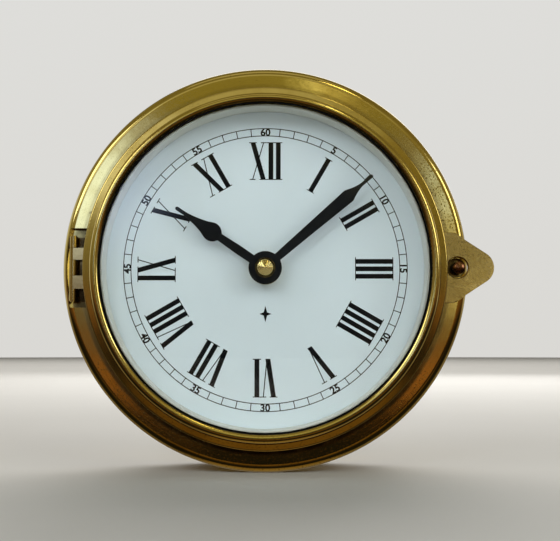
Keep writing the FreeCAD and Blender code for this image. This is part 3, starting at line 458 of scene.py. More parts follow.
def plain_metal(name, colour, roughness, grain=700.0, strength=0.25, fleck=0.7):
    """Bare or plated metal, mottled and finely brushed all ways."""
    s = Surface(name, Metallic=1.0)
    mottled = s.noise(120.0, 5.0, 0.6)
    s.link(s.blend(s.spread(mottled, 0.35, 0.68), colour, tuple(c * fleck for c in colour)),
           s.shader.inputs["Base Color"])
    s.link(s.spread(s.noise(grain, 4.0, 0.6), 0.3, 0.7, roughness - 0.07, roughness + 0.12),
           s.shader.inputs["Roughness"])
    s.link(s.bump(s.noise(grain, 3.0, 0.6), strength, 0.00004), s.shader.inputs["Normal"])
    return s.material


def enamel(name, colour, shade, roughness, peel=260.0, strength=0.12, shine=0.5):
    """Baked paint: slight orange peel, faint clouding and fine dust."""
    s = Surface(name)
    s.shader.inputs["Specular IOR Level"].default_value = shine
    clouds = s.noise(18.0, 5.0, 0.55)
    colour_now = s.blend(s.spread(clouds, 0.30, 0.72), colour, shade)
    dust = s.spread(s.noise(900.0, 2.0, 0.5), 0.68, 0.78, 0.0, 0.35)
    s.link(s.blend(dust, colour_now, tuple(0.8 * c for c in shade)), s.shader.inputs["Base Color"])
    s.link(s.spread(s.noise(90.0, 4.0, 0.6), 0.3, 0.7, roughness - 0.05, roughness + 0.07),
           s.shader.inputs["Roughness"])
    s.link(s.bump(s.noise(peel, 3.0, 0.5), strength, 0.00005), s.shader.inputs["Normal"])
    return s.material


def clear_glass(name):
    """Polished glass that lets lamps through to the dial behind it."""
    s = Surface(name, Roughness=0.0, IOR=1.46)
    s.shader.inputs["Transmission Weight"].default_value = 1.0
    s.shader.inputs["Base Color"].default_value = (0.985, 0.995, 0.99, 1.0)
    output = s.tree.nodes["Material Output"]
    through = s.node("ShaderNodeBsdfTransparent")
    through.inputs[0].default_value = (0.96, 0.975, 0.97, 1.0)
    choose = s.node("ShaderNodeMixShader")
    s.link(s.node("ShaderNodeLightPath").outputs["Is Shadow Ray"], choose.inputs[0])
    s.link(s.shader.outputs[0], choose.inputs[1])
    s.link(through.outputs[0], choose.inputs[2])
    s.link(choose.outputs[0], output.inputs["Surface"])
    return s.material


def enamelled_wire(name):
    """Fine copper wire wound round a bobbin that lies along X."""
    wire_pitch = 0.00022
    s = Surface(name, Metallic=1.0)
    turns = s.math("SINE", s.math("MULTIPLY", s.split()[0], math.tau / wire_pitch))
    # Painted shade and highlight: the colour darkens between turns and lightens on their crests.
    s.link(s.blend(s.spread(turns, -1.0, 1.0), (0.42, 0.15, 0.06), (0.80, 0.36, 0.18)),
           s.shader.inputs["Base Color"])
    s.link(s.spread(s.noise(500.0), 0.3, 0.7, 0.25, 0.42), s.shader.inputs["Roughness"])
    s.link(s.bump(turns, 0.6, 0.0001), s.shader.inputs["Normal"])
    return s.material


def circuit_laminate(name):
    """Green solder mask over a grid of copper tracks."""
    track_pitch = 0.0026
    s = Surface(name, Roughness=0.35, Coat_Weight=0.4)
    lanes = s.math("SINE", s.math("MULTIPLY", s.split()[2], math.tau / track_pitch))
    breaks = s.noise(420.0, 1.0, 0.4)
    track = s.spread(s.math("ADD", lanes, s.math("MULTIPLY", breaks, 1.4)), 1.1, 1.25)
    s.link(s.blend(track, (0.012, 0.10, 0.035), (0.035, 0.20, 0.075)), s.shader.inputs["Base Color"])
    s.link(s.bump(track, 0.5, 0.00004), s.shader.inputs["Normal"])
    s.link(s.spread(s.noise(200.0), 0.3, 0.7, 0.28, 0.45), s.shader.inputs["Roughness"])
    return s.material


def jacket(name):
    """A plain two-tone printed film round a battery cell that lies along X."""
    colour_join = (0.0125, 0.0130)      # metres along X
    s = Surface(name, Metallic=0.35, Coat_Weight=0.5)
    band = s.spread(s.split()[0], *colour_join)
    scuffs = s.spread(s.noise(300.0, 6.0, 0.7), 0.55, 0.8, 0.0, 0.5)
    colour = s.blend(band, (0.018, 0.028, 0.055), (0.62, 0.42, 0.16))
    s.link(s.blend(scuffs, colour, (0.16, 0.15, 0.14)), s.shader.inputs["Base Color"])
    s.link(s.spread(s.noise(180.0, 5.0), 0.3, 0.7, 0.22, 0.42), s.shader.inputs["Roughness"])
    s.link(s.bump(s.noise(240.0, 4.0), 0.15, 0.00008), s.shader.inputs["Normal"])
    return s.material


# Painted shade: a dark crescent below the bezel on the lower side, dark pocket and well floors, and a dark
# reflection painted along the rounded edge.
CASE_BRASS = brass("case_brass", roughness=(0.06, 0.15), lines=0.24, anisotropic=0.1,
                   painted_shade=[(68.2, 1.7, SHOULDER + 1, 0.97, 0.2), (70.4, 4.4, SHOULDER - 0.7, 0.95, 1.0),
                          (75.6, 0.9, SHOULDER - 1.4, 0.6, 0.8)])
# Painted shade: dark lines in the valley before the bead, at the inner lip and at the outer edge.
BEZEL_BRASS = brass("bezel_brass", roughness=(0.11, 0.20), lines=0.22, tarnish=0.7, fineness=3200.0,
                    anisotropic=0.1,
                    painted_shade=[(64.50, 0.50, SHOULDER + 4.9, 0.95, 0.8), (60.9, 0.6, SHOULDER + 8.4, 0.9, 0.9),
                           (67.5, 0.4, SHOULDER + 3.9, 0.8, 0.8)])
# Painted shade: the hinge brass is darkened deep in the pocket, behind 36.4 mm, so that its gaps look
# shaded.
HINGE_BRASS = brass("hinge_brass", light=(0.62, 0.48, 0.20), deep=(0.43, 0.31, 0.11),
                    roughness=(0.14, 0.24), turned=False, lines=0.15, anisotropic=0.0,
                    painted_shade=[(70.0, 6.0, 36.4, 0.97, 1.0)])
TAB_BRASS = brass("tab_brass", light=(0.66, 0.52, 0.21), deep=(0.46, 0.34, 0.11),
                  roughness=(0.15, 0.23), turned=False, lines=0.5, tarnish=0.4, anisotropic=0.0)
STUD_BRASS = brass("stud_brass", light=(0.42, 0.20, 0.09), deep=(0.22, 0.10, 0.05),
                   roughness=(0.14, 0.26), turned=False, lines=0.2, anisotropic=0.0)
BRIGHT_BRASS = brass("bright_brass", light=(0.86, 0.70, 0.30), deep=(0.72, 0.55, 0.20),
                     roughness=(0.10, 0.20), tarnish=0.15, fineness=4200.0, lines=0.5,
                     anisotropic=0.6)
# Painted shade: a dark ring in the groove round the cap's cone.
CAP_BRASS = brass("cap_brass", light=(0.80, 0.66, 0.30), deep=(0.62, 0.46, 0.16),
                  roughness=(0.06, 0.12), tarnish=0.25, fineness=5200.0, lines=0.08, anisotropic=0.3,
                  painted_shade=[(3.45, 0.65, NUT_FRONT - 0.85, 0.9, 1.0)])
STEEL = plain_metal("steel", (0.62, 0.62, 0.61), 0.28)
IRON = plain_metal("iron", (0.32, 0.32, 0.33), 0.42)
MAGNET = plain_metal("magnet", (0.09, 0.09, 0.095), 0.5)
BLACK_PAINT = enamel("black_paint", (0.0028, 0.0034, 0.0046), (0.005, 0.0055, 0.007), 0.42, shine=0.12)
PRINT = enamel("dial_print", (0.003, 0.003, 0.004), (0.005, 0.005, 0.006), 0.6, strength=0.05,
               shine=0.08)
DIAL_WHITE = enamel("dial_white", (0.76, 0.855, 0.93), (0.72, 0.815, 0.89), 0.50)
RING_WHITE = enamel("ring_white", (0.68, 0.69, 0.65), (0.62, 0.63, 0.59), 0.42)
RUBBER = moulded("rubber", (0.005, 0.005, 0.005), 0.70, grain=500.0, shine=0.15)
BLACK_PLASTIC = moulded("black_plastic", (0.018, 0.018, 0.020), 0.46)
NATURAL_PLASTIC = moulded("natural_plastic", (0.72, 0.69, 0.60), 0.38, strength=0.15, lift=1.1)
GLASS = clear_glass("glass")
WIRE = enamelled_wire("copper_wire")
BOARD = circuit_laminate("board")
JACKET = jacket("battery_jacket")
PAPER = moulded("paper_cone", (0.035, 0.033, 0.030), 0.85, grain=350.0, depth=0.0002, strength=0.6)

SLOT_MATERIALS = {
    "case_brass": CASE_BRASS, "bezel_brass": BEZEL_BRASS, "bright_brass": BRIGHT_BRASS,
    "steel": STEEL, "iron": IRON, "black_paint": BLACK_PAINT, "dial_white": DIAL_WHITE,
    "ring_white": RING_WHITE, "glass": GLASS, "rubber": RUBBER, "black_plastic": BLACK_PLASTIC,
    "natural_plastic": NATURAL_PLASTIC, "board": BOARD, "copper": WIRE, "magnet": MAGNET,
    "paper_cone": PAPER, "battery_jacket": JACKET,
}


def dress_frame_nodes():
    """Every CAD node that stays gets the full material of its slot."""
    for part in frame["record"]["subparts"]:
        node = NODES[part["node"]]
        material = SLOT_MATERIALS[part["material_slot"]]
        if not node.material_slots:
            node.data.materials.append(material)
        for slot in node.material_slots:
            slot.material = material


def soften(node, width):
    """Rounds a node's sharp edges with a modifier; its own mesh stays."""
    bevel = NODES[node].modifiers.new("edges", "BEVEL")
    bevel.width = width * MM
    bevel.segments = 2
    bevel.limit_method = "ANGLE"
    bevel.angle_limit = math.radians(35)
    bevel.harden_normals = True


def dress_hinge():
    """The hinge gets a duller brass of its own, and its two leaves get soft edges."""
    leaves = ("hinge_case_leaf", "hinge_bezel_leaf")
    # The pin and case screws take this brass too, with its painted shade deep in the pocket.
    for node in leaves + ("hinge_pin", "hinge_case_screws"):
        for slot in NODES[node].material_slots:
            slot.material = HINGE_BRASS
    for leaf in leaves:
        soften(leaf, 0.12)


# ------------------------------------------------------------------ case and bezel


def make_case():
    """The drum with its rounded shoulder, hinge pocket and catch well."""
    edge = 3.2
    bend = edge * (1 - math.sqrt(0.5))
    wall_r, rebate_r, rebate_deep = CASE_R - 2.2, CASE_R - 1.5, 2.0
    mouth_r, ledge_r, collar_r = 61.5, 58.3, 63.0
    groove_in, groove_out, groove_floor = 63.2, 65.2, SHOULDER - 1.0
    ledge_back = DIAL_BACK - 1.5
    under = SHOULDER - 5.0
    piece = lathe("case_shell", [
        (CASE_R, 0.4), (CASE_R, SHOULDER - edge),
        ((CASE_R - bend, SHOULDER - bend), (CASE_R - edge, SHOULDER)),
        (groove_out, SHOULDER), (groove_out, groove_floor), (groove_in, groove_floor),
        (groove_in, SHOULDER), (mouth_r, SHOULDER), (mouth_r, DIAL_BACK), (ledge_r, DIAL_BACK),
        (ledge_r, ledge_back), (collar_r, ledge_back), (collar_r, under), (wall_r, under),
        (wall_r, rebate_deep), (rebate_r, rebate_deep), (rebate_r, 0.0), (CASE_R - 0.4, 0.0),
    ], CASE_BRASS, "root", ease=0.12)
    pocket_floor, well_floor = 34.0, 34.4
    well_x, well_r, stem_r = 71.0, 3.6, 0.87
    pocket = traced([(-66.3, -14.8), (-72.5, -14.8), ((-74.0, 0.0), (-72.5, 14.8)), (-66.3, 14.8)], 16)
    carved(piece, [
        slab_mesh(pocket, pocket_floor, SHOULDER + 1),
        slab_mesh(circle_line(well_r, well_x), well_floor, SHOULDER + 1),
        slab_mesh(circle_line(stem_r, STUD_X), under - 1, SHOULDER),
    ])
    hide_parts("case_body")


def tab_line():
    """The opening tab's outline, from the bezel out to its rounded tip and back."""
    return [(64.0, -13.2), (70.6, -13.0), (74.3, -10.2), (81.8, -5.3),
            ((84.8, 0.0), (81.8, 5.3)), (74.3, 10.2), (70.6, 13.0), (64.0, 13.2)]


def make_bezel():
    """The stepped ring with its bead, cut out for the tab and for the hinge leaf's strap and legs."""
    edge = 0.8
    land = SHOULDER + 4.1
    bore, lip = 62.0, 61.0
    piece = lathe("bezel", [
        (bore, BEZEL_FLOOR), (BEZEL_R, BEZEL_FLOOR), (BEZEL_R, land - edge),
        ((BEZEL_R - 0.22, land - 0.22), (BEZEL_R - edge, land)),
        (64.8, land + 0.25), ((64.5, land + 0.05), (64.3, land + 0.5)),
        (64.25, BEZEL_TOP - 1.29), ((63.7, BEZEL_TOP - 0.47), (62.45, BEZEL_TOP)),
        ((61.65, BEZEL_TOP - 0.18), (lip, BEZEL_TOP - 0.67)),
        (lip, SEAL_FRONT), (bore, SEAL_FRONT),
    ], BEZEL_BRASS, "bezel", ease=0.15, steps=14)
    gap, below = 0.03, BEZEL_FLOOR - 1
    leaf_front = 39.0 + gap
    strap_out, strap_in, strap_half = -66.2 - gap, -61.0, 8.6 + gap
    leg_out, leg_in = -70.0, -65.0
    legs = ((2.95, 7.35), (-7.85, -2.95))
    carved(piece, [
        slab_mesh(traced(tab_line(), 16), below, TAB_FRONT + gap),
        box_mesh(strap_out, strap_in, -strap_half, strap_half, below, leaf_front),
    ] + [box_mesh(leg_out, leg_in, low - gap, high + gap, below, leaf_front) for low, high in legs])
    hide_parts("bezel_ring")


def make_tab():
    """The finger tab, eased all round, with a countersunk hole over the catch stud."""
    line = eased(traced(tab_line(), 16), 0.9)
    bm = slab_mesh(line, BEZEL_FLOOR, TAB_FRONT, bevel=0.35, steps=3)
    piece = finish_mesh("opening_tab", bm, TAB_BRASS, "bezel")
    hole_x, hole_r, sink, spare = 71.3, 3.85, 0.35, 0.2
    hole = lathe_mesh([(0, BEZEL_FLOOR - 1), (hole_r, BEZEL_FLOOR - 1), (hole_r, TAB_FRONT - sink),
                       (hole_r + sink + spare, TAB_FRONT + spare), (0, TAB_FRONT + spare)], False,
                      (hole_x, 0.0), 96)
    carved(piece, [hole])
    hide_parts("bezel_tab")


def make_stud():
    """The catch stud: a domed head on a thin stem, with a stop collar behind the shoulder."""
    tall, head_back = 0.9, SHOULDER - 1.2
    stem_r, collar_r, collar_back, collar_front = 0.8, 1.15, 31.8, 32.8
    ball = (STUD_R ** 2 + tall ** 2) / (2 * tall)
    half = math.asin(STUD_R / ball) / 2
    piece = lathe("catch_stud_head", [
        (0, collar_back), (collar_r, collar_back), (collar_r, collar_front), (stem_r, collar_front),
        (stem_r, head_back), (STUD_R, head_back), (STUD_R, STUD_FRONT - tall),
        ((ball * math.sin(half), STUD_FRONT - ball * (1 - math.cos(half))), (0, STUD_FRONT)),
    ], STUD_BRASS, "catch_stud_body", ease=0.15, centre=(STUD_X, 0.0), segments=64)
    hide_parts("catch_stud")


def make_catch_coil():
    """The spring under the stud, copied from its node into a mesh of its own; the real one shortens as the
    stud is pressed in.
    """
    bm = bmesh.new()
    bm.from_mesh(NODES["catch_spring"].data)
    piece = finish_mesh("catch_coil", bm, STEEL, "root")
    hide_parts("catch_spring")
    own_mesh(piece)


# ------------------------------------------------------------------ dial, ring and glass


def make_dial():
    """The dial plate and the white ring round its margin, which has a foot and a small undercut."""
    bore = 4.05
    piece = lathe("dial_plate", [(bore, DIAL_BACK), (DIAL_R, DIAL_BACK), (DIAL_R, DIAL_FRONT),
                                 (bore, DIAL_FRONT)], DIAL_WHITE, "root", ease=0.1)
    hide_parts("dial")
    inner, outer, foot_front = 59.8, 60.5, DIAL_FRONT + 1.4
    cut_r, cut_front = inner + 0.45, DIAL_FRONT + 0.35
    ring = lathe("dial_margin_ring", [
        (cut_r, DIAL_FRONT), (RING_FOOT_R, DIAL_FRONT), (RING_FOOT_R, foot_front),
        (outer, foot_front), (outer, RING_TOP), (inner + 0.15, RING_TOP), (inner, RING_TOP - 0.15),
        (inner, cut_front), (cut_r, cut_front),
    ], RING_WHITE, "root", ease=0.1)
    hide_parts("dial_ring")


def make_glass():
    """The pane, and its gasket with an edge that isn't cut quite true."""
    pane = lathe("glass_pane", [(0, GLASS_BACK), (GLASS_R, GLASS_BACK), (GLASS_R, GLASS_FRONT),
                                (0, GLASS_FRONT)], GLASS, "bezel", ease=0.12)
    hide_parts("glass")
    seal = lathe("glass_seal", [(SEAL_IN, GLASS_FRONT), (SEAL_R, GLASS_FRONT), (SEAL_R, SEAL_FRONT),
                                (SEAL_IN, SEAL_FRONT)], RUBBER, "bezel", ease=0.08)
    ragged = random.Random(5)
    carry, swing, trim = 0.86, 0.6, 0.12    # share kept from the last place, and mm cut away
    lip = 0.0
    inner = [v for v in seal.data.vertices if v.co.xz.length < (SEAL_IN + 0.2) * MM]
    inner.sort(key=lambda v: math.atan2(v.co.z, v.co.x))
    for v in inner:
        lip = carry * lip + (1 - carry) * ragged.uniform(-1.0, 1.0)
        grow = 1 + max(0.0, swing * lip + trim) / SEAL_IN
        v.co.x *= grow
        v.co.z *= grow
    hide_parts("glass_gasket")


# ------------------------------------------------------------------ printing on the dial

INK = 0.03              # thickness of the print
TRACK_IN, TRACK_OUT = 50.65, 53.45
NUMERAL_FEET, NUMERAL_TOP = 33.8, 48.2
BAR = 1.80              # width of a letter's heavy strokes
HAIR = 0.36             # width of its light strokes
SERIF = 0.34            # height of its feet
PITCH = 2.80            # from one bar of a III to the next
LETTER_WIDTH = {"I": PITCH, "V": 6.3, "X": 6.9}


def add_prism(bm, corners, place):
    """A thin closed prism of ink over a convex outline; place maps it onto the dial."""
    low = [bm.verts.new(place(x, y, 0.0)) for x, y in corners]
    high = [bm.verts.new(place(x, y, INK)) for x, y in corners]
    count = len(corners)
    bm.faces.new(low)
    bm.faces.new(list(reversed(high)))
    for n in range(count):
        m = (n + 1) % count
        bm.faces.new((low[m], low[n], high[n], high[m]))


def stroke(x0, y0, x1, y1, width):
    """A slanted bar with level ends."""
    slant = math.hypot(x1 - x0, y1 - y0) / abs(y1 - y0)
    half = width * slant / 2
    return [(x0 - half, y0), (x0 + half, y0), (x1 + half, y1), (x1 - half, y1)]


def foot(x, y, width):
    """A serif about a point."""
    return [(x - width / 2, y - SERIF / 2), (x + width / 2, y - SERIF / 2),
            (x + width / 2, y + SERIF / 2), (x - width / 2, y + SERIF / 2)]


def letter_strokes(letter, x, tall):
    """The strokes of one Roman letter that begins at x."""
    low, high = SERIF / 2, tall - SERIF / 2
    wide_foot, thin_foot, inset, lean = 2.9, 2.2, 1.45, 0.1
    if letter == "I":
        middle = x + PITCH / 2
        return [stroke(middle, 0, middle, tall, BAR), foot(middle, low, PITCH + 0.35),
                foot(middle, high, PITCH + 0.35)]
    left = x + inset
    if letter == "X":
        right = x + LETTER_WIDTH["X"] - inset
        return [stroke(right, 0, left, tall, BAR), stroke(left - lean, 0, right + lean, tall, HAIR),
                foot(right, low, wide_foot), foot(left, high, wide_foot),
                foot(left - lean, low, thin_foot), foot(right + lean, high, thin_foot)]
    right = x + LETTER_WIDTH["V"] - 1.0
    bottom = x + LETTER_WIDTH["V"] / 2 + 0.45
    return [stroke(bottom, 0, left, tall, BAR), stroke(bottom + 0.35, 0, right, tall, HAIR),
            foot(left, high, wide_foot), foot(right, high, thin_foot)]


def on_dial(clock_degrees, radius, turn=0.0):
    """Maps (right, up, height) at a place on the dial to metres; up is away from the centre."""
    a = math.radians(clock_degrees)
    t = math.radians(turn)
    out = Vector((math.sin(a), 0, math.cos(a)))
    across = Vector((math.cos(a), 0, -math.sin(a)))
    up = out * math.cos(t) + across * math.sin(t)
    right = across * math.cos(t) - out * math.sin(t)

    def place(x, y, height):
        spot = out * radius + right * x + up * y
        return Vector((spot.x, -(DIAL_FRONT + height), spot.z)) * MM
    return place


def make_roman_numerals():
    """Twelve hours with their feet towards the centre, and IIII for four."""
    tall = NUMERAL_TOP - NUMERAL_FEET
    names = ["XII", "I", "II", "III", "IIII", "V", "VI", "VII", "VIII", "IX", "X", "XI"]
    for hour, letters in enumerate(names):
        bm = bmesh.new()
        place = on_dial(30 * hour, NUMERAL_FEET)
        x = -sum(LETTER_WIDTH[c] for c in letters) / 2
        for c in letters:
            for corners in letter_strokes(c, x, tall):
                add_prism(bm, corners, place)
            x += LETTER_WIDTH[c]
        finish_mesh("numeral_" + letters.lower(), bm, PRINT, "root", smooth=False)


def make_minute_track():
    """Two rings and a tick at each minute that has no number."""
    half = 0.16
    for name, radius in (("track_inner_line", TRACK_IN), ("track_outer_line", TRACK_OUT)):
        bm = lathe_mesh([(radius - half, DIAL_FRONT), (radius + half, DIAL_FRONT),
                         (radius + half, DIAL_FRONT + INK), (radius - half, DIAL_FRONT + INK)])
        finish_mesh(name, bm, PRINT, "root", smooth=False)
    long = TRACK_OUT - TRACK_IN
    bm = bmesh.new()
    for minute in range(60):
        if minute % 5:
            add_prism(bm, [(-half, 0), (half, 0), (half, long), (-half, long)],
                      on_dial(6 * minute, TRACK_IN))
    finish_mesh("track_ticks", bm, PRINT, "root", smooth=False)


def text_mesh(text, tall):
    """A flat mesh of a short text about its middle, in mm, with digits of the given height."""
    digit_share = 0.72      # of the font's size
    bolder = 0.045          # what the outline grows by, as a share of the height
    curve = bpy.data.curves.new("text_" + text, "FONT")
    curve.body = text
    curve.size = tall / digit_share
    curve.align_x = "CENTER"
    curve.align_y = "CENTER"
    curve.resolution_u = 6
    curve.extrude = INK / 2
    curve.offset = bolder * tall
    holder = bpy.data.objects.new("text_holder", curve)
    bpy.context.scene.collection.objects.link(holder)
    graph = bpy.context.evaluated_depsgraph_get()
    mesh = bpy.data.meshes.new_from_object(holder.evaluated_get(graph))
    bpy.data.objects.remove(holder)
    bpy.data.curves.remove(curve)
    return mesh


def make_minute_numerals():
    """5 to 60 in the track. Their tops point outward, except from 20 to 40, where they point in."""
    tall = 2.7
    middle = (TRACK_IN + TRACK_OUT) / 2
    for minute in range(5, 61, 5):
        mesh = text_mesh(str(minute), tall)
        turn = 180.0 if 20 <= minute <= 40 else 0.0
        place = on_dial(6 * minute, middle, turn)
        xs = [v.co.x for v in mesh.vertices]
        ys = [v.co.y for v in mesh.vertices]
        cx, cy = (min(xs) + max(xs)) / 2, (min(ys) + max(ys)) / 2
        bm = bmesh.new()
        bm.from_mesh(mesh)
        for v in bm.verts:
            v.co = place(v.co.x - cx, v.co.y - cy, v.co.z + INK / 2)
        bpy.data.meshes.remove(mesh)
        bmesh.ops.remove_doubles(bm, verts=bm.verts[:], dist=1e-7)
        finish_mesh("minutes_%02d" % minute, bm, PRINT, "root", smooth=False)


def make_star():
    """A small plain compass star under the centre."""
    place = on_dial(180, 17.0)
    long, short, waist = 3.1, 2.3, 0.9
    bm = bmesh.new()
    tips = [(0, long), (short, 0), (0, -long), (-short, 0)]
    for k, tip in enumerate(tips):
        a = math.radians(45 - 90 * k)
        b = math.radians(135 - 90 * k)
        add_prism(bm, [(0, 0), (waist * math.cos(a), waist * math.sin(a)), tip,
                       (waist * math.cos(b), waist * math.sin(b))], place)
    finish_mesh("compass_star", bm, PRINT, "root", smooth=False)


# ------------------------------------------------------------------ hands


def hand_outline(right_side):
    """The full outline of a hand from its right side, which ends at the tip's shoulder."""
    left = [(-x, z) for x, z in reversed(right_side)]
    tip_x, tip_z = right_side[-1]
    cap = [(tip_x * math.cos(math.radians(t)), tip_z + tip_x * math.sin(math.radians(t)))
           for t in range(30, 180, 30)]
    return right_side + cap + left


def make_hand(name, node, body, right_side, hub_r, bore, angle):
    """A flat hand with a round hub, turned to its angle at rest, in its node's depth."""
    node_low, node_high = size_of(node)
    back, front = -node_high.y, -node_low.y
    line = hand_outline(right_side)
    start = math.degrees(math.atan2(right_side[0][1], right_side[0][0]))
    hub = []
    for n in range(49):
        a = math.radians(180 - start + (180 + 2 * start) * n / 48)
        hub.append((hub_r * math.cos(a), hub_r * math.sin(a)))
    line = line[1:-1] + hub
    turn = math.radians(angle)
    spun = [(x * math.cos(turn) + z * math.sin(turn), z * math.cos(turn) - x * math.sin(turn))
            for x, z in line]
    bm = slab_mesh(spun, back, front, bevel=0.14, steps=2)
    piece = finish_mesh(name, bm, BLACK_PAINT, body)
    carved(piece, [slab_mesh(circle_line(bore), back - 1, front + 1)])
    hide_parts(node)


def make_hands():
    """Both pointers, each from the right side of its outline when it points up."""
    def on_hub(radius, half_width):
        return half_width, math.sqrt(radius * radius - half_width * half_width)
    minute_hub, hour_hub = 6.2, 5.9
    right = traced([on_hub(minute_hub, 1.38), (2.55, 41.3), ((1.35, 44.2), (0.6, 47.6)),
                    (0.65, 52.4)], 12)
    make_hand("minute_pointer", "minute_hand", "minute", right, minute_hub, bore=1.2, angle=49.2)
    right = traced([on_hub(hour_hub, 1.50), (1.7, 12.5), (1.3, 20.6), ((3.5, 23.6), (2.75, 26.6)),
                    ((1.4, 31.6), (0.7, 36.3)), (0.7, 39.9)], 14)
    make_hand("hour_pointer", "hour_hand", "hour", right, hour_hub, bore=2.7, angle=304.1)


def make_hand_nut():
    """The cap on the centre arbor: a thin rim, a groove and a shallow cone with turned rings."""
    cone_r, tip_r = NUT_R - 0.95, 0.3
    cone_edge, cone_top = NUT_BACK + 2.1, NUT_FRONT - 0.05
    count, ring_deep = 17, 0.035
    socket_r, socket_deep = 1.2, 1.2
    rings = []
    for k in range(count):
        share = k / (count - 1)
        depth = cone_edge + (cone_top - cone_edge) * share
        rings.append((cone_r + (tip_r - cone_r) * share, depth - (ring_deep if k % 2 else 0.0)))
    piece = lathe("hand_cap", [
        (0, NUT_BACK + socket_deep), (socket_r, NUT_BACK + socket_deep), (socket_r, NUT_BACK),
        (NUT_R, NUT_BACK),
        (NUT_R, NUT_BACK + 0.9), (NUT_R - 0.2, NUT_BACK + 1.1), (NUT_R - 0.65, NUT_BACK + 0.9),
        (NUT_R - 0.8, NUT_BACK + 1.9),
    ] + rings + [(0, NUT_FRONT)], CAP_BRASS, "minute", ease=0.05, segments=160)
    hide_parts("hand_nut")


# ------------------------------------------------------------------ floor, lights and camera


def make_floor():
    """A wide round floor that the case stands on. Polished brass doesn't mirror it."""
    bpy.ops.mesh.primitive_circle_add(vertices=256, radius=4.0, fill_type="NGON",
                                      location=(0, 0, -CASE_R * MM))
    floor = bpy.context.object
    floor.name = "floor"
    s = Surface("floor_paper", Roughness=0.85)
    s.link(s.blend(s.noise(6.0), (0.74, 0.72, 0.68), (0.80, 0.78, 0.74)), s.shader.inputs["Base Color"])
    s.link(s.bump(s.noise(900.0), 0.1, 0.0001), s.shader.inputs["Normal"])
    floor.data.materials.append(s.material)
    floor.visible_glossy = False


def softbox(name, position, target, width, height, power, colour, mirrored=True):
    """A rectangular area lamp, which shows in polished surfaces unless mirrored is off."""
    data = bpy.data.lights.new(name, "AREA")
    data.shape = "RECTANGLE"
    data.size, data.size_y = width, height
    data.energy = power
    data.color = colour
    lamp = bpy.data.objects.new(name, data)
    bpy.context.scene.collection.objects.link(lamp)
    lamp.location = position
    lamp.rotation_euler = (Vector(target) - Vector(position)).to_track_quat("-Z", "Y").to_euler()
    lamp.visible_glossy = mirrored


def make_lights():
    """Two soft lamps for the dial, the windows that the brass mirrors, and lamps for the table."""
    clock = (0.0, -0.03, 0.0)
    softbox("key", (-0.36, -1.05, 0.48), clock, 0.22, 0.22, 1.55, (0.92, 0.985, 1.0), False)
    softbox("ceiling", (0.44, -1.0, 0.48), clock, 0.30, 0.24, 1.15, (0.90, 0.98, 1.0), False)
    softbox("left_window", (-0.90, -0.72, 0.60), clock, 0.6, 0.52, 2.4, (0.98, 1.0, 1.0))
    softbox("right_window", (1.05, -0.72, 0.42), clock, 0.40, 0.55, 2.7, (0.97, 1.0, 1.0))
    softbox("warm_lamp", (0.34, -0.83, 0.94), clock, 0.16, 0.16, 0.40, (1.0, 0.88, 0.46))
    softbox("top", (0.0, -0.35, 1.2), clock, 1.0, 0.4, 0.35, (1.0, 0.95, 0.80))
    softbox("back", (0.2, 1.1, 0.6), clock, 1.0, 0.8, 5.0, (1.0, 1.0, 1.0))
    near_table, far_table, white = (0.0, 0.8, -0.075), (0.0, 2.2, -0.075), (1.0, 0.99, 0.97)
    softbox("table", (0.0, 1.0, 1.1), near_table, 1.6, 1.0, 9.0, white, False)
    softbox("far_table", (0.0, 2.3, 1.4), far_table, 3.0, 1.2, 22.0, white, False)


